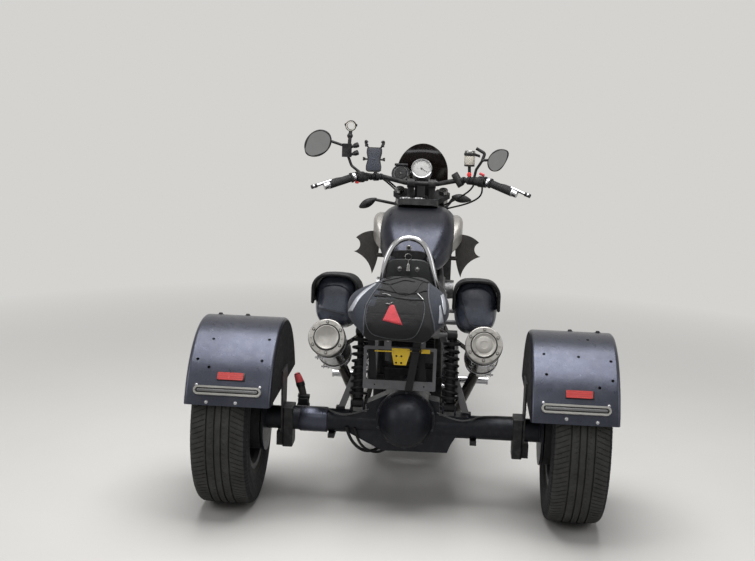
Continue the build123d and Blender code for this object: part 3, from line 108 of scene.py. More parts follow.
class Graph:
    """One material's nodes, with short calls for the patterns that the surfaces share."""

    def __init__(self, name):
        self.material = bpy.data.materials.new(name)
        self.material.use_nodes = True
        self.tree = self.material.node_tree
        self.shader = self.tree.nodes["Principled BSDF"]
        self.place = self.node("ShaderNodeTexCoord").outputs["Object"]

    def node(self, kind, **settings):
        made = self.tree.nodes.new(kind)
        for key, value in settings.items():
            setattr(made, key, value)
        return made

    def join(self, source, target):
        self.tree.links.new(source, target)
        return self

    def noise(self, scale, detail=3.0, roughness=0.55, stretch=(1, 1, 1)):
        """A noise value from 0 to 1, with features about one over scale metres wide."""
        made = self.node("ShaderNodeTexNoise")
        made.inputs["Scale"].default_value = scale
        made.inputs["Detail"].default_value = detail
        made.inputs["Roughness"].default_value = roughness
        self.join(self.stretched(stretch), made.inputs["Vector"])
        return made.outputs["Fac"]

    def stretched(self, stretch, turn=(0, 0, 0)):
        if stretch == (1, 1, 1) and turn == (0, 0, 0):
            return self.place
        mapping = self.node("ShaderNodeMapping")
        mapping.inputs["Scale"].default_value = stretch
        mapping.inputs["Rotation"].default_value = turn
        self.join(self.place, mapping.inputs["Vector"])
        return mapping.outputs["Vector"]

    def cells(self, scale, randomness=1.0):
        made = self.node("ShaderNodeTexVoronoi", feature="F1")
        made.inputs["Scale"].default_value = scale
        made.inputs["Randomness"].default_value = randomness
        self.join(self.place, made.inputs["Vector"])
        return made.outputs["Distance"]

    def waves(self, scale, turn=(0, 0, 0)):
        made = self.node("ShaderNodeTexWave", bands_direction="DIAGONAL")
        made.inputs["Scale"].default_value = scale
        made.inputs["Distortion"].default_value = 0
        self.join(self.stretched((1, 1, 1), turn), made.inputs["Vector"])
        return made.outputs["Fac"]

    def range(self, value, low, high, from_low=0.3, from_high=0.7):
        made = self.node("ShaderNodeMapRange")
        made.inputs["From Min"].default_value = from_low
        made.inputs["From Max"].default_value = from_high
        made.inputs["To Min"].default_value = low
        made.inputs["To Max"].default_value = high
        self.join(value, made.inputs["Value"])
        return made.outputs["Result"]

    def math(self, operation, first, second):
        made = self.node("ShaderNodeMath", operation=operation)
        for socket, value in zip(made.inputs, (first, second)):
            if isinstance(value, (int, float)):
                socket.default_value = value
            else:
                self.join(value, socket)
        return made.outputs["Value"]

    def ramp(self, value, stops):
        """Colours along a value, from (place, colour) pairs."""
        made = self.node("ShaderNodeValToRGB")
        band = made.color_ramp
        while len(band.elements) < len(stops):
            band.elements.new(0.5)
        for element, (place, colour) in zip(band.elements, stops):
            element.position = place
            element.color = (*colour, 1)
        self.join(value, made.inputs["Fac"])
        return made.outputs["Color"]

    def mix(self, share, first, second):
        """Two colours mixed by a value; a colour may be a tuple or an output."""
        made = self.node("ShaderNodeMix", data_type="RGBA")
        for index, value in ((6, first), (7, second)):
            if isinstance(value, tuple):
                made.inputs[index].default_value = (*value, 1)
            else:
                self.join(value, made.inputs[index])
        self.join(share, made.inputs[0])
        return made.outputs[2]

    def bump(self, height, distance, strength=1.0, below=None):
        made = self.node("ShaderNodeBump")
        made.inputs["Distance"].default_value = distance
        made.inputs["Strength"].default_value = strength
        self.join(height, made.inputs["Height"])
        if below is not None:
            self.join(below, made.inputs["Normal"])
        return made.outputs["Normal"]

    def set(self, **values):
        """Sets shader sockets: numbers and tuples directly, outputs by a link."""
        names = {
            "colour": "Base Color", "metal": "Metallic", "rough": "Roughness", "normal": "Normal",
            "coat": "Coat Weight", "coat_rough": "Coat Roughness", "sheen": "Sheen Weight",
            "sheen_rough": "Sheen Roughness", "alpha": "Alpha", "through": "Transmission Weight",
            "ior": "IOR", "specular": "Specular IOR Level", "glow": "Emission Strength",
        }
        for key, value in values.items():
            socket = self.shader.inputs[names[key]]
            if isinstance(value, tuple):
                socket.default_value = (*value, 1)
            elif isinstance(value, (int, float)):
                socket.default_value = value
            else:
                self.join(value, socket)
        return self.material


def shade(colour, factor):
    return tuple(min(1, part * factor) for part in colour)


def painted(
    name, colour, rough, grain=900, depth=0.00008, coat=0.0, dust=0.12, metal=0.0, shine=0.22,
):
    """Paint or moulded plastic: orange peel, cloudy colour and dust that has settled on it."""
    g = Graph(name)
    cloud = g.noise(9, 4)
    body = g.ramp(cloud, [(0.3, shade(colour, 0.82)), (0.7, shade(colour, 1.18))])
    dusty = g.range(g.noise(38, 6, 0.7), 0, dust, 0.45, 0.75)
    body = g.mix(dusty, body, (0.32, 0.30, 0.28))
    gloss = g.range(g.noise(55, 5, 0.65), rough * 0.85, min(1, rough * 1.3))
    normal = g.bump(g.noise(grain, 2), depth)
    return g.set(
        colour=body, rough=gloss, normal=normal, coat=coat, metal=metal, coat_rough=0.12, specular=shine,
    )


def bare_metal(name, colour, rough, brushed=(1, 1, 1), depth=0.00005, stain=0.3):
    """Bare or polished metal: fine scratches along one way, cloudy tarnish and dull spots."""
    g = Graph(name)
    tarnish = g.noise(14, 4, 0.5)
    body = g.ramp(tarnish, [(0.32, shade(colour, 1 - stain)), (0.62, colour), (0.8, shade(colour, 1.08))])
    gloss = g.range(g.noise(40, 3, 0.5), rough * 0.75, min(1, rough * 1.4))
    normal = g.bump(g.noise(420, 2, 0.5, brushed), depth)
    return g.set(colour=body, metal=1.0, rough=gloss, normal=normal)


def soft_rubber(name, colour, rough):
    """Moulded rubber: a fine dull grain and cloudy wear."""
    g = Graph(name)
    cloud = g.noise(16, 5, 0.7)
    body = g.ramp(cloud, [(0.3, shade(colour, 0.75)), (0.68, shade(colour, 1.35))])
    gloss = g.range(g.noise(90, 4), rough * 0.85, min(1, rough * 1.15))
    normal = g.bump(g.noise(1400, 3), 0.00012)
    return g.set(colour=body, rough=gloss, normal=normal, specular=0.22)


def woven(name, colour, thread=520, rough=0.82):
    """Coarse woven cloth: crossing threads, slubs and a soft sheen at the edges."""
    g = Graph(name)
    threads = g.math("MULTIPLY", g.waves(thread), g.waves(thread, (0, 0, 1.57)))
    cloud = g.noise(22, 5, 0.65)
    body = g.ramp(cloud, [(0.3, shade(colour, 0.75)), (0.7, shade(colour, 1.25))])
    body = g.mix(g.range(threads, 0.0, 0.35, 0.2, 1.0), body, shade(colour, 1.9))
    folds = g.bump(g.noise(14, 4, 0.6), 0.0016)
    normal = g.bump(threads, 0.00014, 1.0, folds)
    g.set(colour=body, rough=g.range(cloud, rough * 0.92, min(1, rough * 1.08)), normal=normal)
    return g.set(sheen=0.12, sheen_rough=0.5, specular=0.2)


def leather(name, colour, rough, grain=330, depth=0.00016, shine=0.4):
    """Glossy leather: pebbled grain, soft creases and scuffed, duller patches."""
    g = Graph(name)
    pebbles = g.cells(grain)
    cloud = g.noise(12, 5, 0.65)
    body = g.ramp(cloud, [(0.32, shade(colour, 0.75)), (0.7, shade(colour, 1.35))])
    scuffs = g.range(g.noise(42, 7, 0.75), 0, 0.16, 0.5, 0.72)
    body = g.mix(scuffs, body, (0.13, 0.13, 0.135))
    creases = g.bump(g.noise(26, 5, 0.6, (1, 1, 0.45)), 0.0012)
    normal = g.bump(pebbles, depth, 1.0, creases)
    return g.set(
        colour=body, rough=g.range(g.noise(30, 5, 0.7), rough * 0.75, rough * 1.5), normal=normal,
        coat=shine / 2, coat_rough=0.25, specular=shine,
    )


def satin_metal_paint(name, colour, rough):
    """Dark metallic paint with a rolled, speckled skin: broad soft highlights and fine dull specks."""
    g = Graph(name)
    cloud = g.noise(7, 4)
    body = g.ramp(cloud, [(0.3, shade(colour, 0.85)), (0.7, shade(colour, 1.15))])
    specks = g.range(g.noise(260, 2, 0.5), 0.0, 0.55, 0.55, 0.75)
    body = g.mix(specks, body, shade(colour, 0.45))
    dust = g.range(g.noise(30, 6, 0.72), 0, 0.10, 0.5, 0.78)
    body = g.mix(dust, body, (0.20, 0.19, 0.18))
    gloss = g.range(g.noise(48, 5, 0.65), rough * 0.85, rough * 1.25)
    peel = g.bump(g.noise(300, 2), 0.00025)
    normal = g.bump(g.noise(11, 3), 0.0009, 1.0, peel)
    return g.set(colour=body, rough=gloss, normal=normal, metal=0.85, coat=0.06, coat_rough=0.3)


def reflector(name, colour):
    """Moulded prismatic plastic: rows of small cells under a clear skin."""
    g = Graph(name)
    cells = g.cells(260, 0.05)
    body = g.ramp(cells, [(0.2, shade(colour, 1.25)), (0.75, shade(colour, 0.55))])
    g.set(colour=body, rough=g.range(g.noise(60, 4), 0.12, 0.3), normal=g.bump(cells, 0.0006))
    return g.set(coat=0.5, coat_rough=0.12)


def mirror(name, colour):
    """A silvered glass with faint smears."""
    g = Graph(name)
    smear = g.noise(18, 6, 0.7)
    body = g.ramp(smear, [(0.35, shade(colour, 0.92)), (0.7, colour)])
    gloss = g.range(smear, 0.04, 0.16)
    return g.set(colour=body, metal=1.0, rough=gloss, normal=g.bump(g.noise(40, 2), 0.00001))


surface_rows = [
    # name, maker, colour and its settings
    ("frame_black", painted, (0.011, 0.011, 0.012), dict(rough=0.42)),
    ("axle_black", painted, (0.010, 0.011, 0.015),
     dict(rough=0.36, grain=500, depth=0.0002, dust=0.03, metal=0.35)),
    ("engine_grey", painted, (0.035, 0.035, 0.037), dict(rough=0.5, grain=600, depth=0.0003, metal=0.3)),
    ("engine_silver", bare_metal, (0.26, 0.26, 0.265), dict(rough=0.4)),
    ("radiator_black", painted, (0.012, 0.012, 0.013), dict(rough=0.55)),
    ("body_blue_black", satin_metal_paint, (0.048, 0.052, 0.071), dict(rough=0.30)),
    # A darker copy of the body paint for the tank: painted shade that takes down its highlight.
    ("tank_paint", satin_metal_paint, (0.027, 0.029, 0.040), dict(rough=0.30)),
    # Near-black for the sheet on the guards' inner side plates: painted shade between guard and wheel.
    ("guard_inner", painted, (0.006, 0.006, 0.007), dict(rough=0.7, dust=0.03)),
    ("scoop_silver", painted, (0.25, 0.24, 0.225), dict(rough=0.38, metal=0.5, coat=0.3, dust=0.08)),
    ("trim_black", painted, (0.012, 0.012, 0.013), dict(rough=0.45, dust=0.1)),
    ("wing_leather", leather, (0.040, 0.036, 0.033), dict(rough=0.5, grain=180, depth=0.0004)),
    ("seat_black", leather, (0.011, 0.011, 0.012), dict(rough=0.45, shine=0.2)),
    ("panel_leather", leather, (0.022, 0.023, 0.024), dict(rough=0.42)),
    ("bag_fabric", woven, (0.009, 0.009, 0.010), {}),
    ("bag_side", woven, (0.022, 0.025, 0.034), dict(thread=420)),
    ("piping_grey", woven, (0.06, 0.064, 0.072), dict(thread=700, rough=0.6)),
    ("reflective_grey", painted, (0.27, 0.28, 0.305), dict(rough=0.42, grain=1500, metal=0.35)),
    ("cord_black", woven, (0.010, 0.010, 0.010), dict(thread=900, rough=0.7)),
    ("patch_red", woven, (0.40, 0.045, 0.055), dict(thread=600, rough=0.7)),
    ("strap_black", woven, (0.011, 0.011, 0.012), dict(thread=800, rough=0.7)),
    ("saddlebag_leather", leather, (0.040, 0.047, 0.066), dict(rough=0.27)),
    # A paler copy of the saddlebag leather for the flap: painted light where the rear face turns up into the
    # light.
    ("flap_leather", leather, (0.062, 0.070, 0.095), dict(rough=0.24)),
    # Flat black for the discs at the guards' drilled holes: painted shade seen through each hole.
    ("pit_black", painted, (0.002, 0.002, 0.002), dict(rough=0.9, dust=0.0, shine=0.0)),
    ("lid_leather", leather, (0.009, 0.009, 0.010), dict(rough=0.45, shine=0.15)),
    ("thread_grey", woven, (0.05, 0.05, 0.052), dict(thread=900, rough=0.7)),
    ("chrome", bare_metal, (0.50, 0.50, 0.52), dict(rough=0.14, stain=0.15, depth=0.00002)),
    ("cap_metal", bare_metal, (0.34, 0.33, 0.312), dict(rough=0.36, stain=0.16)),
    ("brushed_steel", bare_metal, (0.27, 0.27, 0.266),
     dict(rough=0.22, brushed=(1, 4, 1), depth=0.000006, stain=0.14)),
    ("exhaust_steel", bare_metal, (0.10, 0.095, 0.09), dict(rough=0.2, brushed=(1, 5, 1), stain=0.4)),
    ("strut_grey", painted, (0.17, 0.17, 0.175), dict(rough=0.45)),
    ("pipe_grey", painted, (0.07, 0.07, 0.072), dict(rough=0.45, dust=0.05)),
    ("flange_grey", painted, (0.034, 0.036, 0.044), dict(rough=0.36, metal=0.4, dust=0.05)),
    ("spring_black", painted, (0.007, 0.007, 0.008), dict(rough=0.5, dust=0.04)),
    ("light_grey", painted, (0.27, 0.265, 0.245), dict(rough=0.34, shine=0.5)),
    ("lamp_diffuser", painted, (0.12, 0.12, 0.12), dict(rough=0.3, coat=0.4, dust=0.05)),
    ("reflector_red", reflector, (0.42, 0.022, 0.020), {}),
    ("button_red", painted, (0.60, 0.03, 0.03), dict(rough=0.35)),
    ("plate_grey", painted, (0.10, 0.10, 0.108), dict(rough=0.5)),
    ("bracket_yellow", painted, (0.62, 0.42, 0.03), dict(rough=0.42)),
    ("hose_black", soft_rubber, (0.012, 0.012, 0.012), dict(rough=0.5)),
    ("grip_rubber", soft_rubber, (0.022, 0.022, 0.023), dict(rough=0.7)),
    ("grip_grey", soft_rubber, (0.055, 0.05, 0.048), dict(rough=0.65)),
    ("lever_red", painted, (0.52, 0.07, 0.08), dict(rough=0.38)),
    ("holder_plastic", painted, (0.032, 0.036, 0.048),
     dict(rough=0.42, grain=1200, depth=0.0001, dust=0.05)),
    ("cup_cream", painted, (0.60, 0.57, 0.50), dict(rough=0.35, coat=0.3, dust=0.2)),
    # Shaded and lit copies of one rubber: the near-black sidewalls are painted shade, and the paler tread is
    # partly road dust, partly painted light.
    ("tyre_rubber", soft_rubber, (0.010, 0.010, 0.011), dict(rough=0.8)),
    ("tread_rubber", soft_rubber, (0.034, 0.034, 0.032), dict(rough=0.85)),
    # Black for the rear wheels: painted shade where they sit under the guards.
    ("wheel_black", painted, (0.010, 0.010, 0.011), dict(rough=0.45, dust=0.05)),
    ("wheel_silver", bare_metal, (0.24, 0.24, 0.247), dict(rough=0.34, depth=0.000008)),
    ("disc_steel", bare_metal, (0.26, 0.26, 0.26),
     dict(rough=0.22, brushed=(6, 1, 6), depth=0.000006, stain=0.14)),
    ("lamp_glass", painted, (0.55, 0.56, 0.58), dict(rough=0.08, coat=0.8, dust=0.05)),
    ("mirror_glass", mirror, (0.32, 0.325, 0.33), {}),
    ("screen_tint", painted, (0.010, 0.007, 0.006), dict(rough=0.1, coat=0.3, dust=0.04)),
    ("gauge_face", painted, (0.10, 0.10, 0.105), dict(rough=0.4)),
    ("dial_white", painted, (0.34, 0.34, 0.333), dict(rough=0.5, dust=0.04)),
    ("mark_black", painted, (0.02, 0.02, 0.02), dict(rough=0.4)),
]
surfaces = {name: make(name, colour, **settings) for name, make, colour, settings in surface_rows}
node_surfaces = {
    # node and the surface that it wears in place of its slot's own
    "leg_shields": "wing_leather",
    # The tank wears the darker copy of the body paint: painted shade.
    "tank": "tank_paint",
    "phone_holder": "trim_black",
    "muffler_caps": "cap_metal",
    "hand_brake": "trim_black",
    "headlight": "trim_black",
    # The rear wheels wear black in place of their silver slot: painted shade under the guards.
    "rear_wheel_left": "wheel_black",
    "rear_wheel_right": "wheel_black",
}


def dress_nodes():
    """Gives every CAD node the full material of its own slot."""
    for node in nodes.values():
        for place in node.material_slots:
            key = place.material.name.split(".")[0]
            for slot_name, surface in surfaces.items():
                if key == slot_name or key.startswith(slot_name):
                    place.material = surface
    for name, surface in node_surfaces.items():
        for place in nodes[name].material_slots:
            place.material = surfaces[surface]


# Floor, light and background


pale = (0.66, 0.65, 0.63)
floor_near = (0.52, 0.512, 0.496)
floor_radius = 60
fade_start, fade_end = 1.3, 4.0
room_strength = 0.26
lamps = [
    # name, place, target, size, power
    ("overhead_lamp", (150, 100, 4000), (20, 100, 400), (3.0, 3.3), 215),
    ("left_lamp", (-1800, 3600, 2600), (200, 0, 600), (2.0, 2.0), 40),
    ("right_lamp", (-1200, -3800, 2400), (200, 0, 600), (2.0, 2.0), 30),
    ("rear_lamp", (-3600, 300, 3600), (0, 0, 600), (2.4, 1.2), 16),
]


def make_floor():
    """A wide pale floor that fades into an equally pale background."""
    mesh = bpy.data.meshes.new("floor")
    shape = bmesh.new()
    bmesh.ops.create_circle(shape, cap_ends=True, segments=96, radius=floor_radius)
    shape.to_mesh(mesh)
    shape.free()
    floor = bpy.data.objects.new("floor", mesh)
    bpy.context.scene.collection.objects.link(floor)
    g = Graph("floor_pale")
    body = g.ramp(g.noise(1.4, 5, 0.6), [(0.3, shade(floor_near, 0.97)), (0.7, floor_near)])
    g.set(colour=body, rough=0.85, normal=g.bump(g.noise(60, 3), 0.0004))
    middle = g.node("ShaderNodeVectorMath", operation="LENGTH")
    g.join(g.place, middle.inputs[0])
    far = g.range(middle.outputs["Value"], 0.0, 1.0, fade_start, fade_end)
    seen = g.node("ShaderNodeEmission")
    seen.inputs["Color"].default_value = (*pale, 1)
    blend = g.node("ShaderNodeMixShader")
    g.join(far, blend.inputs[0])
    g.join(g.shader.outputs[0], blend.inputs[1])
    g.join(seen.outputs[0], blend.inputs[2])
    g.join(blend.outputs[0], g.tree.nodes["Material Output"].inputs["Surface"])
    mesh.materials.append(g.material)


def make_room():
    """A soft white light from all round, seen as the same pale tone as the floor."""
    world = bpy.data.worlds.new("pale_room")
    world.use_nodes = True
    tree = world.node_tree
    lit = tree.nodes["Background"]
    lit.inputs["Color"].default_value = (1.0, 1.0, 1.0, 1)
    lit.inputs["Strength"].default_value = room_strength
    shown = tree.nodes.new("ShaderNodeBackground")
    shown.inputs["Color"].default_value = (*pale, 1)
    ray = tree.nodes.new("ShaderNodeLightPath")
    share = ray.outputs["Is Camera Ray"]
    for other in ("Is Glossy Ray", "Is Transmission Ray"):
        either = tree.nodes.new("ShaderNodeMath")
        either.operation = "MAXIMUM"
        tree.links.new(share, either.inputs[0])
        tree.links.new(ray.outputs[other], either.inputs[1])
        share = either.outputs["Value"]
    mixed = tree.nodes.new("ShaderNodeMixShader")
    tree.links.new(share, mixed.inputs[0])
    tree.links.new(lit.outputs[0], mixed.inputs[1])
    tree.links.new(shown.outputs[0], mixed.inputs[2])
    tree.links.new(mixed.outputs[0], tree.nodes["World Output"].inputs["Surface"])
    bpy.context.scene.world = world


def make_lamps():
    for name, place, target, (wide, high), power in lamps:
        data = bpy.data.lights.new(name, "AREA")
        data.shape = "RECTANGLE"
        data.size = wide
        data.size_y = high
        data.energy = power
        lamp = bpy.data.objects.new(name, data)
        bpy.context.scene.collection.objects.link(lamp)
        lamp.location = at(*place)
        lamp.rotation_euler = (at(*target) - at(*place)).to_track_quat("-Z", "Y").to_euler()
    bpy.context.scene.view_settings.view_transform = "Standard"


# Mesh helpers


def placed(name, shape, surface, body="chassis", soft_angle=40, merge=True):
    """Turns a bmesh into a piece that rides on a body, smooth but for its sharp edges.

    The surface is a name, or a list of them.
    """
    if merge:
        bmesh.ops.remove_doubles(shape, verts=shape.verts, dist=0.00005)
    bmesh.ops.recalc_face_normals(shape, faces=shape.faces)
    mesh = bpy.data.meshes.new(name)
    shape.to_mesh(mesh)
    shape.free()
    piece = bpy.data.objects.new(name, mesh)
    bpy.context.scene.collection.objects.link(piece)
    worn = surface if isinstance(surface, list) else [surface]
    for one in worn:
        mesh.materials.append(surfaces[one])
    mesh.shade_smooth()
    mesh.set_sharp_from_angle(angle=math.radians(soft_angle))
    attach(piece, body)
    return piece


def sheet(name, lists_of_rows, surface, thickness):
    """A thin piece on the chassis through rows of points, one sheet for each list of rows."""
    shape = bmesh.new()
    for rows in lists_of_rows:
        skin(shape, rows, closed=False, capped=False)
    piece = placed(name, shape, surface, merge=False)
    piece.modifiers.new("thick", "SOLIDIFY").thickness = thickness
    return piece


def skin(shape, rings, closed=True, capped=True):
    """Faces between rings of points; a closed ring joins its end to its start."""
    rows = [[shape.verts.new(point) for point in ring] for ring in rings]
    count = len(rows[0])
    for low, high in zip(rows, rows[1:]):
        for i in range(count if closed else count - 1):
            j = (i + 1) % count
            shape.faces.new((low[i], low[j], high[j], high[i]))
    if capped and closed:
        shape.faces.new(rows[0])
        shape.faces.new(rows[-1])


def frame_of(axis):
    """Two directions square to an axis."""
    axis = axis.normalized()
    side = upward if abs(axis.z) < 0.9 else leftward
    across = axis.cross(side).normalized()
    return across, axis.cross(across).normalized()


def round_places(centre, radius, count, across, other, first=0.0):
    """Places spread evenly round a centre, from a first angle in degrees; the radius in millimetres."""
    turns = (math.radians(360 * step / count + first) for step in range(count))
    return [centre + (across * math.cos(turn) + other * math.sin(turn)) * (radius / 1000) for turn in turns]


def lathe(shape, origin, axis, profile, count=40):
    """A turned form: profile in (radius, distance along the axis), in millimetres.

    A profile that ends where it began makes an open ring.
    """
    across, other = frame_of(axis)
    axis = axis.normalized()
    rings = []
    for radius, along in profile:
        radius = max(radius, 0.01) / 1000
        rings.append([
            origin + axis * (along / 1000)
            + across * (radius * math.cos(turn)) + other * (radius * math.sin(turn))
            for turn in (math.tau * step / count for step in range(count))
        ])
    skin(shape, rings, capped=profile[0] != profile[-1])


def pipe(shape, points, radius, count=10, taper=None):
    """A round tube along points; radius in millimetres, or one for each point in taper."""
    across = None
    rings = []
    for i, point in enumerate(points):
        along = points[min(i + 1, len(points) - 1)] - points[max(i - 1, 0)]
        along.normalize()
        if across is None:
            across, _ = frame_of(along)
        across = (across - along * across.dot(along)).normalized()
        other = along.cross(across)
        size = (taper[i] if taper else radius) / 1000
        rings.append([
            point + across * (size * math.cos(turn)) + other * (size * math.sin(turn))
            for turn in (math.tau * step / count for step in range(count))
        ])
    skin(shape, rings)


def eased(points, steps=8):
    """A smooth line through points."""
    ends = [2 * points[0] - points[1], *points, 2 * points[-1] - points[-2]]
    line = []
    for a, b, c, d in zip(ends, ends[1:], ends[2:], ends[3:]):
        for step in range(steps):
            t = step / steps
            line.append(0.5 * (
                2 * b + (c - a) * t + (2 * a - 5 * b + 4 * c - d) * t * t
                + (3 * b - a - 3 * c + d) * t ** 3
            ))
    line.append(points[-1].copy())
    return line


def ribbon(shape, line, normals, width, thickness):
    """A flat strap along a line, lying square to the normals; sizes in millimetres."""
    rings = []
    for i, (point, normal) in enumerate(zip(line, normals)):
        along = (line[min(i + 1, len(line) - 1)] - line[max(i - 1, 0)]).normalized()
        across = along.cross(normal).normalized() * (width / 2000)
        out = normal.normalized() * (thickness / 1000)
        rings.append([point - across, point + across, point + across + out, point - across + out])
    skin(shape, rings)


def brick(shape, middle, axes, sizes, bevel=0.8):
    """A block with softened edges; axes are its directions, sizes in millimetres."""
    across, up, out = (axis.normalized() for axis in axes)
    half = [size / 2000 for size in sizes]
    edge = min(bevel / 1000, min(half) * 0.9)
    rings = []
    for depth, inset in ((-half[2], edge), (-half[2] + edge, 0), (half[2] - edge, 0), (half[2], edge)):
        wide, high = half[0] - inset, half[1] - inset
        cut = edge
        corners = [
            (wide - cut, high), (-wide + cut, high), (-wide, high - cut), (-wide, -high + cut),
            (-wide + cut, -high), (wide - cut, -high), (wide, -high + cut), (wide, high - cut),
        ]
        rings.append([middle + across * a + up * b + out * depth for a, b in corners])
    skin(shape, rings)


def bolt(shape, place, normal, radius=5.0, height=4.0):
    """A button-head bolt with its socket and washer."""
    lathe(shape, place, normal, [
        (radius * 1.45, -0.3), (radius * 1.45, 0.9), (radius, 1.0), (radius * 0.96, height * 0.55),
        (radius * 0.72, height * 0.9), (radius * 0.42, height), (radius * 0.4, height * 0.45),
        (0, height * 0.45),
    ], 24)


def rounded_ring(x, centre_y, width, low, high, corner, steps=7):
    """An upright rounded rectangle as points, all in millimetres."""
    half, middle, tall = width / 2, (low + high) / 2, (high - low) / 2
    corner = min(corner, half - 1, tall - 1)
    ring = []
    for quarter, (side_y, side_z) in enumerate(((1, 1), (-1, 1), (-1, -1), (1, -1))):
        for step in range(steps):
            turn = math.pi / 2 * (quarter + step / (steps - 1))
            ring.append(at(
                x,
                centre_y + side_y * (half - corner) + corner * math.cos(turn),
                middle + side_z * (tall - corner) + corner * math.sin(turn),
            ))
    return ring


def smooth_rows(rows, steps=6):
    """Rows of numbers with smooth rows set between them; each row starts with its x."""
    columns = [eased([Vector((row[0], row[i], 0)) for row in rows], steps) for i in range(1, len(rows[0]))]
    return [(columns[0][k].x, *(column[k].y for column in columns)) for k in range(len(columns[0]))]


def shell_of(rows, inset):
    """A closed body through upright rounded sections, drawn in by an inset in millimetres."""
    shape = bmesh.new()
    rings = []
    for x, centre_y, width, low, high, corner in smooth_rows(rows):
        rings.append(rounded_ring(x, centre_y, width - 2 * inset, low + inset, high - inset, corner))
    skin(shape, rings)
    return shape


# Cloth: soft pieces are swelled by simulation and keep only its result

swell_frames = 20


def fresh_mesh(piece):
    """The piece's mesh with its modifiers applied."""
    bpy.context.view_layer.update()
    graph = bpy.context.evaluated_depsgraph_get()
    return bpy.data.meshes.new_from_object(piece.evaluated_get(graph), depsgraph=graph)


def swap_mesh(piece, mesh):
    old = piece.data
    surfaces_kept = list(old.materials)
    piece.modifiers.clear()
    piece.data = mesh
    mesh.materials.clear()
    for one in surfaces_kept:
        mesh.materials.append(one)
    bpy.data.meshes.remove(old)


def stuffed(piece, voxel, pressure, cap):
    """Remeshes a soft piece, swells it by cloth, caps how far a point moves, and smooths it."""
    remesh = piece.modifiers.new("even", "REMESH")
    remesh.mode = "VOXEL"
    remesh.voxel_size = voxel
    swap_mesh(piece, fresh_mesh(piece))
    start = [vertex.co.copy() for vertex in piece.data.vertices]
    cloth = piece.modifiers.new("swell", "CLOTH")
    cloth.settings.quality = 4
    cloth.settings.mass = 0.4
    cloth.settings.tension_stiffness = 25
    cloth.settings.compression_stiffness = 25
    cloth.settings.shear_stiffness = 10
    cloth.settings.bending_stiffness = 2.0
    cloth.settings.use_pressure = True
    cloth.settings.uniform_pressure_force = pressure
    cloth.settings.effector_weights.gravity = 0
    cloth.point_cache.frame_end = swell_frames
    for step in range(1, swell_frames + 1):
        bpy.context.scene.frame_set(step)
    moved = fresh_mesh(piece)
    for vertex, rest in zip(moved.vertices, start):
        shift = vertex.co - rest
        if shift.length > cap:
            vertex.co = rest + shift * (cap / shift.length)
    swap_mesh(piece, moved)
    bpy.context.scene.frame_set(1)
    soften = piece.modifiers.new("soften", "SMOOTH")
    soften.iterations = 12
    finer = piece.modifiers.new("finer", "SUBSURF")
    finer.render_levels = 1
    finer.levels = 1
    swap_mesh(piece, fresh_mesh(piece))
    piece.data.shade_smooth()
    return piece


def smoothed(piece, chosen, times):
    """Draws the chosen vertices of a piece towards their neighbours a few times."""
    shape = bmesh.new()
    shape.from_mesh(piece.data)
    some = [vertex for vertex in shape.verts if chosen(vertex)]
    for _ in range(times):
        bmesh.ops.smooth_vert(
            shape, verts=some, factor=0.5, use_axis_x=True, use_axis_y=True, use_axis_z=True,
        )
    shape.to_mesh(piece.data)
    shape.free()
    piece.data.update()


def press(piece, line, width, depth):
    """Sews a channel into a piece along a line of points; sizes in millimetres."""
    tree = KDTree(len(line))
    for i, point in enumerate(line):
        tree.insert(point, i)
    tree.balance()
    reach = width / 2000
    for vertex in piece.data.vertices:
        _, _, gap = tree.find(vertex.co)
        if gap < reach:
            share = 0.5 + 0.5 * math.cos(math.pi * gap / reach)
            vertex.co = vertex.co - vertex.normal * (depth / 1000 * share)
    piece.data.update()


# Places read from the photograph: a pixel is followed from the camera to the surface it shows

def tree_of(piece):
    return BVHTree.FromPolygons(
        [vertex.co for vertex in piece.data.vertices], [face.vertices for face in piece.data.polygons]
    )


def ray_through(across, down):
    direction = (
        sight["forward"] * focal_pixels
        + sight["right"] * (across - photo_width / 2) - sight["up"] * (down - photo_height / 2)
    )
    return direction.normalized()


def seen_on(tree, pixels, lift=0.0):
    """Points and normals where pixels of the photograph meet a surface; lift in millimetres."""
    points, normals = [], []
    for across, down in pixels:
        hit, normal, _, _ = tree.ray_cast(sight["eye"], ray_through(across, down))
        if hit is not None:
            points.append(hit + normal * (lift / 1000))
            normals.append(normal)
    return points, normals


def between(corners, steps=8):
    """Pixels along a smooth line through a few pixels."""
    return [(point.x, point.y) for point in eased([Vector((a, b, 0)) for a, b in corners], steps)]


def straight(first, last, count):
    """Pixels in even steps along a straight line."""
    return [
        (first[0] + (last[0] - first[0]) * k / count, first[1] + (last[1] - first[1]) * k / count)
        for k in range(count + 1)
    ]


def seen_rows(tree, first_edge, last_edge, count, lift):
    """Rows of points on a surface between two lines of pixels, where the whole row meets it."""
    rows = []
    for first, last in zip(first_edge, last_edge):
        points, _ = seen_on(tree, straight(first, last, count), lift)
        if len(points) == count + 1:
            rows.append(points)
    return rows


def pixel_of(point):
    """Where a point of the scene shows in the photograph."""
    offset = point - sight["eye"]
    depth = offset.dot(sight["forward"])
    return (
        photo_width / 2 + focal_pixels * offset.dot(sight["right"]) / depth,
        photo_height / 2 - focal_pixels * offset.dot(sight["up"]) / depth,
    )


def inside(pixel, outline):
    """Whether a pixel lies inside a closed outline of pixels."""
    x, y = pixel
    odd = False
    for (ax, ay), (bx, by) in zip(outline, outline[1:] + outline[:1]):
        if (ay > y) != (by > y) and x < (bx - ax) * (y - ay) / (by - ay) + ax:
            odd = not odd
    return odd


# Tyres


groove_wide, groove_deep, sipe_deep = 5.5, 7.0, 3.2
tread_offsets = (0.0, 0.07, 0.16, 0.23)
sipe_slant = 0.42
slant_margin = 12
pitch_variation = 0.12


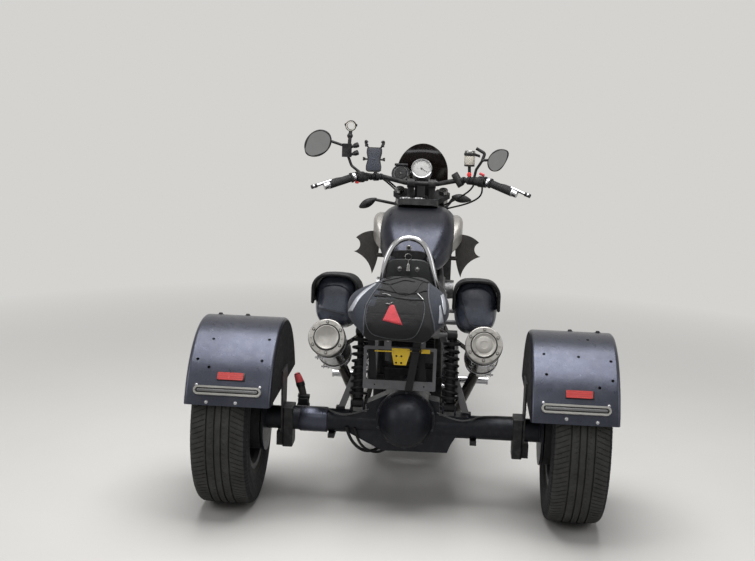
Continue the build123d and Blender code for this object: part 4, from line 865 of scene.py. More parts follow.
def arc_through(a, b, c, steps):
    """Points on the circle's arc through three points of a plane."""
    (ax, ay), (bx, by), (cx, cy) = a, b, c
    twice = 2 * (ax * (by - cy) + bx * (cy - ay) + cx * (ay - by))
    a2, b2, c2 = ax * ax + ay * ay, bx * bx + by * by, cx * cx + cy * cy
    ox = (a2 * (by - cy) + b2 * (cy - ay) + c2 * (ay - by)) / twice
    oy = (a2 * (cx - bx) + b2 * (ax - cx) + c2 * (bx - ax)) / twice
    radius = math.hypot(ax - ox, ay - oy)
    start = math.atan2(ay - oy, ax - ox)
    turn = math.atan2(cy - oy, cx - ox) - start
    middle = math.atan2(by - oy, bx - ox) - start
    turn = (turn + math.pi) % math.tau - math.pi
    middle = (middle + math.pi) % math.tau - math.pi
    if turn * middle < 0:
        turn -= math.copysign(math.tau, turn)
    return [
        (ox + radius * math.cos(start + turn * i / steps), oy + radius * math.sin(start + turn * i / steps))
        for i in range(steps + 1)
    ]


def tyre_section(half, radius, rim, crown, shoulder, grooves):
    """A tyre's section from bead to bead, as (y, radius, depth of the sipes at that point)."""
    tread_half = half - shoulder * 0.75
    corner = (radius - crown - shoulder, half - 2)
    bulge = (rim + (radius - rim) * 0.5, half)

    def tread(y):
        return radius - crown * (y / tread_half) ** 2

    # The ribs between the grooves, from the middle of the tread outward
    edges = [0.0]
    for groove in grooves:
        edges += [groove - groove_wide / 2, groove + groove_wide / 2]
    edges.append(tread_half)
    ribs = list(zip(edges[::2], edges[1::2]))
    rows = []
    for number, (low, high) in enumerate(ribs):
        outermost = number == len(ribs) - 1
        steps = 6 if outermost else 5
        for i in range(steps + 1):
            y = low + (high - low) * i / steps
            if outermost:
                deep = 0 if y < low + 5 else sipe_deep
            else:
                deep = 1.6 if number and 0 < i < 3 else 0
            rows.append((y, tread(y), deep))
        if not outermost:
            rows.append((high + 0.6, tread(high) - groove_deep, 0))
            rows.append((high + groove_wide - 0.6, tread(high) - groove_deep, 0))
    knee = (radius - crown - shoulder * 0.25, tread_half + shoulder * 0.5)
    for r, y in arc_through((radius - crown, tread_half), knee, corner, 7)[1:]:
        rows.append((y, r, sipe_deep if r > corner[0] + 5 else 0))
    # Raised and sunk rings round the sidewall
    for i, (r, y) in enumerate(arc_through(corner, bulge, (rim, half * 0.78), 16)[1:]):
        ring = {2: 0.9, 3: 0.9, 10: 1.6, 11: 1.6, 13: -0.8}.get(i, 0)
        rows.append((y + ring, r, 0))
    return [(-y, r, deep) for y, r, deep in reversed(rows)] + rows[1:]


def tyre_piece(name, node, body, centre, half, radius, rim, crown, shoulder, grooves, pitches):
    """A road tyre: crowned tread, ribs between grooves, slanted sipes and ringed sidewalls."""
    tread_half = half - shoulder * 0.75
    edge_rib = max(grooves) + groove_wide / 2
    section = tyre_section(half, radius, rim, crown, shoulder, grooves)
    shape = bmesh.new()
    rows_of = []
    for pitch in range(pitches):
        # Pitches are unequal, as on a real tread
        stretch = pitch_variation * math.sin(pitch * 2.1)
        for station, offset in enumerate(tread_offsets):
            row = []
            for y, r, deep in section:
                lean = sipe_slant * (min(abs(y), tread_half + slant_margin) - edge_rib) / radius
                turn = math.tau * (pitch + offset * (1 + stretch)) / pitches + lean
                low = r - (deep if station in (1, 2) else 0)
                point = Vector((math.cos(turn) * low, y, math.sin(turn) * low)) / 1000
                row.append(shape.verts.new(centre + point))
            rows_of.append(row)
    for a, b in zip(rows_of, rows_of[1:] + rows_of[:1]):
        for i in range(len(section) - 1):
            face = shape.faces.new((a[i], a[i + 1], b[i + 1], b[i]))
            # Tread faces take the paler rubber, partly dust and partly painted light; the sidewalls take the
            # near-black one, painted shade.
            face.material_index = 1 if abs(section[i][0]) < tread_half + shoulder * 0.4 else 0
        shape.faces.new((a[-1], a[0], b[0], b[-1]))
    piece = placed(name, shape, ["tyre_rubber", "tread_rubber"], body, 32, merge=False)
    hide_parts(node)


def make_tyres():
    for side, sign in sides:
        tyre_piece(
            "tread_" + side, "rear_tyre_" + side, "rear_wheel_" + side,
            at(0, rear_wheel_y * sign, wheel_radius), half=102.5, radius=wheel_radius, rim=190.5, crown=4,
            shoulder=30, grooves=(12, 41), pitches=108,
        )
    tyre_piece(
        "tread_front", "front_tyre", "front_wheel", at(wheelbase, 0, wheel_radius), half=57.5,
        radius=wheel_radius, rim=228.5, crown=20, shoulder=22, grooves=(16,), pitches=72,
    )


# Mudguards: painted shade on the inner side plates and in the drilled holes, lamp bars, reflectors' bases and
# bolts

guard_radius = 338
guard_z = 365
lamp_lift = 24
lamp_y = 604
reflector_lift = 33
inner_plate_y = 0.475
shade_sheet_lift = 0.0004
lamp_count = 22
lamp_pitch = 9.4
guard_rows = [
    # y, lift round the wrap in degrees, kind
    (682, 59.5, "hole"), (482, 61.1, "hole"), (723, 43.6, "hole"), (495, 44.4, "hole"), (679, 38.5, "hole"),
    (705, 101.9, "bolt"), (602, 101.9, "bolt"), (676, 17.2, "pin"), (573, 17.4, "pin"),
    (-502, 45.2, "hole"), (-684, 38.1, "hole"), (-730, 43.0, "hole"), (-494, 60.7, "hole"),
    (-615, 59.6, "hole"), (-727, 57.1, "hole"), (-655, 78.5, "hole"), (-603, 101.9, "bolt"),
    (-703, 99.0, "bolt"), (-572, 18.5, "pin"), (-678, 17.3, "pin"),
]


def guard_place(y, lift, depth=0.0):
    """A point on the mudguard's wrap, with the directions out of it and up along it."""
    turn = math.radians(lift)
    out = Vector((-math.cos(turn), 0, math.sin(turn)))
    radius = guard_radius + depth
    return at(out.x * radius, y, guard_z + out.z * radius), out, Vector((out.z, 0, -out.x))


def slot_plate(shape, place, across, up, out, half_long, half_high, rows):
    """A plate with round ends: rows of (inset, height) in millimetres from its foot upward."""
    rings = []
    for inset, height in rows:
        high = half_high - inset
        ring = []
        for step in range(36):
            turn = math.tau * (step + 0.5) / 36
            shift = math.copysign(half_long - half_high, math.cos(turn))
            ring.append(
                place + across * ((shift + high * math.cos(turn)) / 1000)
                + up * (high * math.sin(turn) / 1000) + out * (height / 1000)
            )
        rings.append(ring)
    skin(shape, rings)


def make_inner_plate(name):
    """A near-black sheet over the mudguard's side plate towards the axle: painted shade between guard and
    wheel.
    """
    plate = bmesh.new()
    guard = nodes["guard_" + name]
    place = guard.matrix_world
    for face in guard.data.polygons:
        normal = (place.to_3x3() @ face.normal).normalized()
        if abs(normal.y) > 0.97 and abs((place @ face.center).y) < inner_plate_y:
            corners = [place @ guard.data.vertices[i].co for i in face.vertices]
            plate.faces.new([plate.verts.new(corner + normal * shade_sheet_lift) for corner in corners])
    placed("guard_inner_plate_" + name, plate, "guard_inner")


def make_wrap_fittings(name, side):
    """The drilled holes, bolts and pins of the wrap sheet; each hole is a flat black disc of painted shade.
    """
    dark, bright, black = bmesh.new(), bmesh.new(), bmesh.new()
    for y, lift, kind in guard_rows:
        if y * side < 0:
            continue
        place, out, _ = guard_place(y, lift)
        if kind == "hole":
            # A black disc stands for the hole: painted shade.
            lathe(dark, place, out, [(5.4, -1), (5.4, 0.25), (4.2, 0.35), (0, 0.3)], 20)
        elif kind == "bolt":
            bolt(black, place, out, 8, 7)
        else:
            bolt(bright, place, out, 4.2, 4)
    for offset in (-112, 112):
        place, out, _ = guard_place(lamp_y * side + offset, lamp_lift + 3.4)
        bolt(bright, place, out, 3.2, 3)
    placed("guard_holes_" + name, dark, "pit_black")
    placed("guard_bolts_" + name, black, "trim_black")
    placed("guard_pins_" + name, bright, "chrome")


def make_lamp_bar(name, side):
    """Inside the bar's recess: a black seal, a frosted lens, the lamps' row and two end screws."""
    seal, lens, strip, screws = bmesh.new(), bmesh.new(), bmesh.new(), bmesh.new()
    place, out, up = guard_place(lamp_y * side, lamp_lift, 11.35)
    axes = (leftward, up, out)
    slot_plate(seal, place, *axes, 111.6, 8.7, [(0, 0), (0, 0.5), (0.4, 0.7)])
    slot_plate(lens, place, *axes, 106, 4.6, [(0, 0.5), (0, 1.5), (0.8, 2.2), (2.2, 2.5)])
    placed("lamp_seal_" + name, seal, "trim_black")
    placed("lamp_lens_" + name, lens, "lamp_diffuser")
    for i in range(lamp_count):
        shift = (i - (lamp_count - 1) / 2) * lamp_pitch
        brick(strip, place + leftward * (shift / 1000) + out * 0.0026, axes, (5.6, 2.2, 0.8), 0.3)
    placed("lamp_row_" + name, strip, "plate_grey")
    for offset in (-0.114, 0.114):
        screw = [(2.1, 1.5), (2.1, 2.9), (1.2, 3.1), (0, 2.6)]
        lathe(screws, place + leftward * offset, out, screw, 16)
    placed("lamp_screws_" + name, screws, "brushed_steel")


def make_guard_details():
    for name, side in sides:
        make_inner_plate(name)
        make_wrap_fittings(name, side)
        make_lamp_bar(name, side)
        # The reflector stands on a dark base that shows at its inner end
        base = bmesh.new()
        place, out, up = guard_place(lamp_y * side - (8 if side > 0 else 12), reflector_lift, 2.0)
        brick(base, place, (leftward, up, out), (99, 30, 4), 1.2)
        placed("reflector_base_" + name, base, "trim_black")


# Tail bag: padded shell, side panels, pocket, piping, reflective strips and lacing

bag_rows = [
    # x, centre y, width, low z, high z, corner
    (204, 12, 190, 748, 852, 30),
    (110, 20, 270, 726, 850, 40),
    (0, 30, 380, 706, 834, 46),
    (-80, 32, 366, 690, 802, 44),
    (-148, 30, 262, 656, 736, 30),
]
bag_notch = (184, 394, 64)
pocket_height = 0.007
# The pocket is raised, and the shell smoothed, behind these places only
pocket_from = 60
smooth_from = 90
# Pixels of the photograph
pocket_outline = [
    (371, 300), (367, 308.5), (365.7, 322), (370.5, 332.5), (378.5, 336.5), (392, 339), (408, 339.2),
    (416, 335), (422, 323), (424.6, 311), (424, 303), (418.5, 299), (396, 298.2), (376, 298.6),
]
side_seams = [
    [(384, 279), (375.5, 290), (370, 298), (366, 306), (364.3, 316), (363.7, 327), (363, 336)],
    [(429, 279), (428.6, 295), (430, 306), (432, 316), (434, 325), (435.2, 340)],
]
strip_edges = [
    ([(375.7, 283), (365, 289.6), (357, 297), (350.5, 307), (346, 316), (344.6, 322)],
     [(376.6, 284), (367, 291.6), (359.8, 299), (354.5, 307.5), (351, 315), (346.2, 322.5)]),
    ([(433.5, 279.5), (440.5, 287), (444.6, 297.5), (446.2, 307), (445.4, 314.5)],
     [(432.6, 281), (437.8, 289), (441.2, 299), (442.6, 308), (443.8, 315)]),
    ([(440.4, 305), (442.4, 315), (443.3, 325), (440.5, 334), (437.5, 337)],
     [(439.4, 306), (439.2, 316), (438.2, 325), (437, 332), (436.6, 337)]),
]
lacing_hooks = [
    (383.6, 281.6), (379, 289.6), (375.7, 295.7), (428.6, 277.6), (428, 283), (425.3, 291), (422, 300.3),
]
lacing_lines = [
    [(383.6, 281.6), (396, 279), (407.8, 277.6), (428, 283)],
    [(386.4, 279), (406.5, 273.6), (429.3, 274.9)],
    [(389, 284.3), (397, 293), (405.2, 295)],
    [(425.3, 291), (414.5, 294), (397, 293), (379.7, 289.6)],
    [(375.7, 295.7), (391.8, 297.7), (410.5, 300.3), (421.9, 300.3)],
    [(428, 283), (421.9, 282.9), (414.5, 292.3), (405, 295.5)],
    [(380, 283), (391, 284.6), (404, 281), (415, 282.4)],
]
clip_lines = [
    [(382.5, 295), (386, 294.8), (391, 296.8)],
    [(417.5, 294.5), (420.5, 297.5), (423.5, 301)],
    [(386, 304.2), (389.5, 304.6), (393, 303)],
]
patch_edges = [((382.6, 320.5), (390.2, 305)), ((402.6, 325.5), (394, 305))]


def on_side_panel(pixel):
    """Whether a pixel of the bag lies outside the two seams, on a blue-grey side panel."""
    across, down = pixel
    left = 384 - (down - 279) * 0.36 if down < 306 else 364.5
    right = 429 + max(0, down - 300) * 0.16
    return across < left or across > right


def make_bag_shell():
    """The bag's padded shell, notched over the rear bracket, with its pocket standing out of it."""
    bag = placed("tail_bag_shell", shell_of(bag_rows, inset=7), ["bag_fabric", "bag_side"])
    hollow = bmesh.new()
    brick(hollow, at(125, 0, 720), (leftward, fore, upward), bag_notch, 12)
    cutter = placed("cutter", hollow, "bag_fabric")
    cut = bag.modifiers.new("notch", "BOOLEAN")
    cut.operation = "DIFFERENCE"
    cut.object = cutter
    swap_mesh(bag, fresh_mesh(bag))
    bpy.data.objects.remove(cutter)
    stuffed(bag, voxel=0.0055, pressure=4.0, cap=0.011)
    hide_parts("tail_bag")
    outline = between(pocket_outline + pocket_outline[:1], 4)
    for vertex in bag.data.vertices:
        if vertex.co.x < at(pocket_from, 0, 0).x and vertex.normal.dot(sight["forward"]) < 0:
            pixel = pixel_of(vertex.co)
            if inside(pixel, outline):
                gap = min(math.hypot(pixel[0] - a, pixel[1] - b) for a, b in outline)
                vertex.co = vertex.co + vertex.normal * (pocket_height * min(1, gap / 5) ** 0.6)
    smoothed(bag, lambda vertex: vertex.co.x < at(smooth_from, 0, 0).x, times=8)
    return bag, outline


def make_tail_bag():
    bag, outline = make_bag_shell()
    stitches, _ = seen_on(tree_of(bag), outline)
    press(bag, stitches, width=9, depth=3.2)
    # Seams between the dark middle and the blue-grey side panels
    tree = tree_of(bag)
    trim, cords, metal = bmesh.new(), bmesh.new(), bmesh.new()
    pipe(trim, [point + Vector((-0.0004, 0, 0.0002)) for point in stitches], 1.3, 8)
    for corners in side_seams:
        line, _ = seen_on(tree, between(corners), 0.8)
        pipe(trim, line, 2.3, 8)
        press(bag, line, width=10, depth=2.0)
    for face in bag.data.polygons:
        face.material_index = 1 if on_side_panel(pixel_of(face.center)) else 0
    placed("bag_piping", trim, "piping_grey")
    strips = [
        seen_rows(tree, between(outer, 6), between(inner, 6), count=3, lift=1.3)
        for outer, inner in strip_edges
    ]
    sheet("bag_reflective", strips, "reflective_grey", thickness=0.0009)
    # Elastic lacing between small hooks, crossing over the upper panel, and bright clips
    for corners in lacing_lines:
        line, _ = seen_on(tree, between(corners, 7), 2.6)
        if len(line) > 2:
            pipe(cords, line, 1.9, 8)
    for place, normal in zip(*seen_on(tree, lacing_hooks, 1.5)):
        lathe(cords, place, normal, [(6.4, -1), (6.4, 2.4), (4.4, 3.6), (2.2, 3.6), (2.2, 1.5), (0, 1.5)], 16)
    for corners in clip_lines:
        line, _ = seen_on(tree, between(corners, 6), 4.4)
        if len(line) > 2:
            pipe(metal, line, 1.7, 8)
    placed("bag_lacing", cords, "cord_black")
    placed("bag_clips", metal, "brushed_steel")
    # A plain woven patch on the pocket
    first_edge, last_edge = (straight(*edge, 8) for edge in patch_edges)
    rows = seen_rows(tree, first_edge, last_edge, count=8, lift=1.0)
    sheet("bag_patch", [rows], "patch_red", thickness=0.0012)


# Saddlebags: leather shells with an arched lid whose rolled edge stands over the rear face

saddle_rows = [
    # x, width, low z, high z, corner
    (102, 160, 662, 858, 50),
    (160, 166, 640, 858, 52),
    (300, 164, 612, 832, 48),
    (428, 144, 632, 796, 42),
]
saddle_seams = [
    # x, how far the seam's ring lies inside the section
    (104, 17),
    (420, 16),
]
saddle_reach = 265
saddle_shift = 12
# The rear face leans forward towards its top, in metres over this run and this height
lean_start = 220
lean_run = 0.11
lean_foot = 0.68
lean_height = 0.18
lean_reach = 0.045
flap_edges = {
    # the flap's upper and lower edges in the photograph, both from left to right
    "left": ([(320.5, 291), (326, 286), (335, 284.6), (343, 286.4), (350, 292)],
             [(317.8, 308.2), (326, 309.6), (335, 311.8), (341, 313.2), (346, 314.4)]),
    "right": ([(461, 292), (468, 288.2), (478, 287.2), (486, 289.4), (491.6, 294.6)],
              [(466, 316), (471, 325), (478, 327), (486, 327), (492, 325)]),
}


def arch_over(x, centre_y, width, low, high, corner):
    """The lid's line across a bag: up one side, over the top and down the other."""
    half = width / 2
    line = [(half, low), (half, (low + high - corner) / 2)]
    for step in range(9):
        turn = math.pi / 2 * step / 8
        line.append((half - corner + corner * math.cos(turn), high - corner + corner * math.sin(turn)))
    line.append(((half - corner) * 0.4, high + 1.5))
    line += [(-y, z) for y, z in reversed(line)]
    return [at(x, centre_y + y, z) for y, z in line]


def make_saddlebags():
    for name, side in sides:
        centre = side * saddle_reach + saddle_shift
        rows = [(x, centre, width, low, high, corner) for x, width, low, high, corner in saddle_rows]
        shape = shell_of(rows, inset=9)
        for vertex in shape.verts:
            rearward = max(0, min(1, (at(lean_start, 0, 0).x - vertex.co.x) / lean_run))
            vertex.co.x += lean_reach * rearward * max(0, (vertex.co.z - lean_foot) / lean_height)
        bag = placed("saddlebag_shell_" + name, shape, "saddlebag_leather")
        stuffed(bag, voxel=0.0065, pressure=3.0, cap=0.009)
        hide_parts("saddlebag_" + name)
        # Sewn seams: one round the rear face and one round the front
        for x, inset in saddle_seams:
            row = [value for value in smooth_rows(rows, 8) if abs(value[0] - x) < 30][0]
            _, _, width, low, high, corner = row
            ring = rounded_ring(x, centre, width - 2 * inset, low + inset, high - inset, corner * 0.7, 12)
            press(bag, eased(ring + ring[:1], 3), width=8, depth=2.2)
        make_lid(name, centre, rows)
        make_flap(name, tree_of(bag))


def make_lid(name, centre, rows):
    """A lid arched over the bag, with a rolled rim and a row of stitches down each side."""
    rim, stitches = bmesh.new(), bmesh.new()
    rings = []
    for x, _, width, _, high, corner in smooth_rows(rows, 8):
        rings.append(arch_over(x, centre, width + 7, high - 2.1 * corner, high + 3.5, corner + 3))
    rings.insert(0, [point - Vector((0.012, 0, 0)) for point in rings[0]])
    rings.append([point + Vector((0.006, 0, 0)) for point in rings[-1]])
    sheet("saddlebag_lid_" + name, [rings], "lid_leather", thickness=0.0035)
    pipe(rim, rings[0], 6.5, 10)
    pipe(rim, rings[-1], 4.5, 10)
    for edge in (0, -1):
        pipe(rim, [ring[edge] for ring in rings], 3.4, 10)
    placed("saddlebag_rim_" + name, rim, "lid_leather")
    for ring in (rings[2], rings[-3]):
        line = eased(ring, 4)
        for k in range(2, len(line) - 2, 2):
            out = line[k] - at(200, centre, 740)
            out.x = 0
            out.normalize()
            along = line[k + 1] - line[k - 1]
            brick(stitches, line[k] + out * 0.0004, (along, fore, out), (4.6, 1.3, 1.6), 0.4)
    placed("saddlebag_stitches_" + name, stitches, "thread_grey")


def make_flap(name, tree):
    """A shiny flap over the rear face, bound along its edges, in a paler copy of the bag's leather: painted
    light on the face turned up.
    """
    upper, lower = flap_edges[name]
    rows = seen_rows(tree, between(upper, 8), between(lower, 8), count=16, lift=1.6)
    sheet("saddlebag_flap_" + name, [rows], "flap_leather", thickness=0.002)
    binding = bmesh.new()
    pipe(binding, [row[-1] for row in rows], 2.2, 8)
    pipe(binding, rows[0], 2.2, 8)
    placed("saddlebag_binding_" + name, binding, "piping_grey")


# Seat: stuffed rider's saddle with sewn channels, and the pillion pad under the bag

seat_rows = [
    # x, centre y, width, low z, high z, corner
    (642, 0, 150, 770, 842, 24),
    (560, 0, 250, 728, 800, 30),
    (450, 0, 310, 708, 772, 28),
    (345, 0, 270, 708, 778, 28),
    (292, 0, 188, 708, 800, 26),
]
pillion_rows = [
    # x, centre y, width, low z, high z, corner
    (-60, 0, 172, 703, 742, 16),
    (60, 0, 178, 703, 744, 18),
    (200, 0, 178, 703, 744, 18),
    (296, 0, 172, 703, 744, 16),
]
channel_stations = (345, 400, 455, 510, 565)
# A channel bows rearward towards the seat's edges, by this times the square of the step from its middle
channel_bow = 0.002


def make_seat():
    seat = placed("rider_seat", shell_of(seat_rows, inset=7), "seat_black")
    stuffed(seat, voxel=0.0065, pressure=3.0, cap=0.010)
    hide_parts("seat")
    tree = tree_of(seat)
    for x in channel_stations:
        line = []
        for i in range(60):
            hit, _, _, _ = tree.ray_cast(at(x - channel_bow * (i - 30) ** 2, -150 + 5 * i, 1000), downward)
            if hit is not None:
                line.append(hit)
        press(seat, line, width=15, depth=3.5)
    pad = bmesh.new()
    skin(pad, [rounded_ring(*row, 6) for row in smooth_rows(pillion_rows, 6)])
    pillion = placed("pillion_pad", pad, "seat_black")
    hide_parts("seat")


# Hoses and control cables: each lies on one smooth line through its route's points

hose_routes = {
    "brake_hose_left": [
        (-47.6, 206, 316), (-51.3, 190, 262), (-10, 130, 208), (90, 72, 210), (200, 66, 250), (262, 70, 300),
    ],
    "brake_hose_right": [
        (-45.3, 176, 312), (-47.3, 160, 250), (0, 96, 204), (90, 46, 206), (190, 44, 258), (246, 60, 300),
    ],
}
hose_lengths = {"brake_hose_left": (0.445, 12), "brake_hose_right": (0.428, 10)}
pipe_route = [(0, 406, 374.3), (0, 290, 374.3), (-47.3, 258, 370.3), (-39.3, 200, 358), (-39.3, 126, 388)]
cable_left = [(-187, 262, 332), (-115, 206, 324), (-15, 146, 270), (-26, 48, 176)]
cable_routes = {
    "cable_left_upper": cable_left + [(11, 38, 160)],
    "cable_left_lower": [(x, y - 14, z) for x, y, z in cable_left] + [(11, 24, 160)],
    "cable_right_upper": [
        (-187, -261, 334), (-165, -286, 272), (-119, -240, 216), (-77, -102, 172), (-45, -62, 162),
        (-11, -44, 152), (11, -44, 152),
    ],
    "cable_right_lower": [
        (-187, -246, 332), (-159, -236, 288), (-123, -190, 244), (-77, -100, 188), (-45, -58, 176),
        (-11, -32, 168), (11, -32, 168),
    ],
}


def smooth_line(name, points, diameter, surface):
    """A round line whose control points are the route's points; the diameter in millimetres."""
    data = bpy.data.curves.new(name, "CURVE")
    data.dimensions = "3D"
    data.bevel_depth = diameter / 2000
    data.bevel_resolution = 3
    data.resolution_u = 12
    data.use_fill_caps = True
    line = data.splines.new("NURBS")
    line.points.add(len(points) - 1)
    for control, place in zip(line.points, points):
        control.co = (*place, 1)
    line.order_u = 3
    line.use_endpoint_u = True
    data.materials.append(surface)
    piece = bpy.data.objects.new(name, data)
    bpy.context.scene.collection.objects.link(piece)
    return piece


def make_cords():
    for name, route in hose_routes.items():
        length, diameter = hose_lengths[name]
        points = [at(*place) for place in route]
        hose = smooth_line(name, points, diameter, surfaces["hose_black"])
        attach(hose, "chassis")
        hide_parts("brake_lines")
    for name, side in sides:
        points = [at(x, y * side, z) for x, y, z in pipe_route]
        steel = smooth_line("brake_pipe_" + name, points, 6, surfaces["pipe_grey"])
        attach(steel, "chassis")
        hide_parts("brake_lines")
    for name, route in cable_routes.items():
        points = [ahead(*place) for place in route]
        cable = smooth_line(name, points, 8, surfaces["hose_black"])
        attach(cable, "steering")
        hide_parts("cables")


# Mufflers: seals, sockets and the polished clamp bands

muffler_pitch = math.radians(22)
muffler_axis = Vector((-math.cos(muffler_pitch), 0, math.sin(muffler_pitch)))
muffler_end = (-80, 285, 660)


def muffler_point(distance, side):
    """A point on a muffler's centre line, in millimetres forward from its rear end."""
    x, y, z = muffler_end
    return at(x, y * side, z) - muffler_axis * (distance / 1000)


def make_muffler_details():
    for name, side in sides:
        seal, bright, bands = bmesh.new(), bmesh.new(), bmesh.new()
        rear = muffler_point(0, side)
        across, other = frame_of(muffler_axis)
        lathe(seal, rear, muffler_axis, [(44.6, 1), (44.6, 3.2), (49.2, 3.2), (49.2, 1)], 64)
        lathe(seal, rear, muffler_axis, [(68.4, -13.5), (68.4, -10.5), (62, -10.5), (62, -13.5)], 64)
        steps = [(44.2, 13.6), (44.2, 14.2), (41.5, 14.6), (40.8, 14.1)]
        if side < 0:
            steps += [(31, 14.1), (30.4, 15.4), (28.6, 16), (14, 16.2), (13.4, 15.6), (11.6, 15.5)]
        lathe(bright, rear, muffler_axis, steps + [(0, steps[-1][1] + 0.3)], 64)
        for spot in round_places(rear, 56.5, 6, across, other, 30):
            lathe(seal, spot + muffler_axis * 0.0116, muffler_axis, [(5.6, -1), (5.6, 0.5), (0, 0.5)], 18)
            lathe(bright, spot + muffler_axis * 0.0118, muffler_axis, [
                (4.1, 0), (4.1, 1.4), (3.5, 2.2), (2.1, 2.2), (2.0, 0.8), (0, 0.8),
            ], 18)
        placed("cap_seal_" + name, seal, "trim_black")
        placed("cap_face_" + name, bright, "cap_metal")
        for distance in (60, 300):
            rows = [(62.2, 1), (65.6, 1.4), (66.4, 3.4), (66.4, 18.6), (65.6, 20.6), (62.2, 21)]
            lathe(bands, muffler_point(distance, side), -muffler_axis, rows, 64)
            low = muffler_point(distance + 11, side) + Vector((0, side * 0.03, -0.062))
            for shift in (-0.009, 0.009):
                brick(bands, low + leftward * shift, (fore, upward, leftward), (19, 20, 3.6), 0.8)
            pipe(bands, [low + Vector((0, reach, -0.004)) for reach in (-0.019, 0.019)], 3.4, 12)
        placed("muffler_bands_" + name, bands, "chrome")


# Behind the seat: the hoop's padded panel with its snaps, round badge, ring and bell

def flat_panel(shape, outline, x, depth, edge=1.2):
    """A soft-edged plate facing along the vehicle, from (y, z) corners in order round it."""
    centre = Vector((sum(y for y, _ in outline), sum(z for _, z in outline))) / len(outline)
    rings = []
    for inset, shift in ((edge, 0), (0, edge), (0, depth - edge), (edge, depth)):
        ring = []
        for y, z in outline:
            pull = (centre - Vector((y, z))).normalized() * inset
            ring.append(at(x + shift, y + pull.x, z + pull.y))
        rings.append(ring)
    skin(shape, rings)


def curved(outline, steps=6):
    """A closed outline of (a, b) pairs made smooth."""
    count = len(outline)
    line = []
    for i in range(count):
        a, b, c, d = (Vector(outline[(i + k) % count]) for k in (-1, 0, 1, 2))
        for step in range(steps):
            t = step / steps
            line.append(tuple(0.5 * (
                2 * b + (c - a) * t + (2 * a - 5 * b + 4 * c - d) * t * t + (3 * b - a - 3 * c + d) * t ** 3
            )))
    return line


def make_hoop_details():
    panel = [(104, 812), (0, 806), (-96, 812), (-88, 868), (-52, 908), (10, 913), (74, 908), (100, 868)]
    pad, upper, metal, dark = bmesh.new(), bmesh.new(), bmesh.new(), bmesh.new()
    flat_panel(pad, curved(panel, 5), 224.5, 13, 3.4)
    placed("hoop_panel_cover", pad, "panel_leather")
    strap = [(72, 918), (70, 941), (10, 946), (-48, 941), (-50, 917), (10, 914)]
    flat_panel(upper, curved(strap, 5), 229, 12, 3)
    placed("hoop_strap", upper, "seat_black")
    for y in (44, -24):
        bolt(metal, at(224.6, y, 876), back, 6.5, 4)
    for y in (101, -86):
        bolt(metal, at(225, y, 900 if y > 0 else 893), back, 3.4, 3)
    badge = at(229.5, 12, 956)
    lathe(metal, badge, back, [(10.5, -9), (10.5, 0), (9.4, 1), (8.2, 1), (7.8, 0.3), (0, 0.3)], 32)
    lathe(dark, badge, back, [(6.4, 0.2), (6.4, 1.0), (3.4, 1.6), (0, 1.7)], 24)
    ring = [at(224 + 2 * math.sin(step * 0.5), 12 + 12.5 * math.cos(turn), 922 + 12.5 * math.sin(turn))
            for step, turn in enumerate(math.tau * k / 28 for k in range(28))]
    pipe(metal, ring + ring[:1], 1.6, 8)
    lathe(metal, at(220, 11, 898), downward, [
        (2.2, -14), (2.4, 0), (5.5, 2), (7.4, 9), (7.8, 20), (9.4, 27), (9.6, 28.5), (8.2, 28.5), (0, 24),
    ], 28)
    placed("hoop_fittings", metal, "brushed_steel")
    placed("hoop_badge_face", dark, "trim_black")


# Plate frame: the webbing round it with its slider, and the clamp bolts

webbing_route = [
    # x, y, z and which way the webbing faces
    (-96, -46, 668, back), (-93, -42, 640, back), (-91.5, -36, 590, back), (-90.5, -27, 530, back),
    (-90, -21, 492, back), (-90, -20, 482, back), (-87, -20, 478.2, downward), (-84, -20, 478.2, downward),
    (-82.4, -20, 484, fore), (-80, -24, 512, fore), (-70, -36, 600, fore), (-64, -42, 680, fore),
]


def make_straps():
    web = bmesh.new()
    line = [at(x, y, z) for x, y, z, _ in webbing_route]
    ribbon(web, eased(line, 4), facing([way for *_, way in webbing_route], 4), 27, 1.8)
    for top_y, low_y in ((123, 110), (-57, -71)):
        line = [at(-48, top_y, 690), at(-52, top_y, 640), at(-62, (top_y + low_y) / 2, 560),
                at(-76, low_y, 500), at(-80.5, low_y, 486)]
        ribbon(web, eased(line, 4), facing([back] * 5, 4), 26, 1.8)
    placed("webbing", web, "strap_black")
    slider = bmesh.new()
    for low in (0, 13):
        brick(slider, at(-97, -43, 626 + low), (leftward, upward, back), (34, 4, 4), 1)
    for y in (-59, -27):
        brick(slider, at(-97, y, 632.5), (leftward, upward, back), (4, 17, 4), 1)
    placed("webbing_slider", slider, "trim_black")
    nuts = bmesh.new()
    for y in (-62, 62):
        for z in (690, 664):
            bolt(nuts, at(-88.4, y, z), back, 4.2, 3.4)
    placed("plate_bolts", nuts, "brushed_steel")


def facing(normals, steps):
    """One direction for every point of an eased line."""
    found = []
    for a, b in zip(normals, normals[1:]):
        found += [a.lerp(b, step / steps) for step in range(steps)]
    return found + [normals[-1]]


# Axle: the sleeve on its left tube, the cover's gasket and bolts, and the parking lever

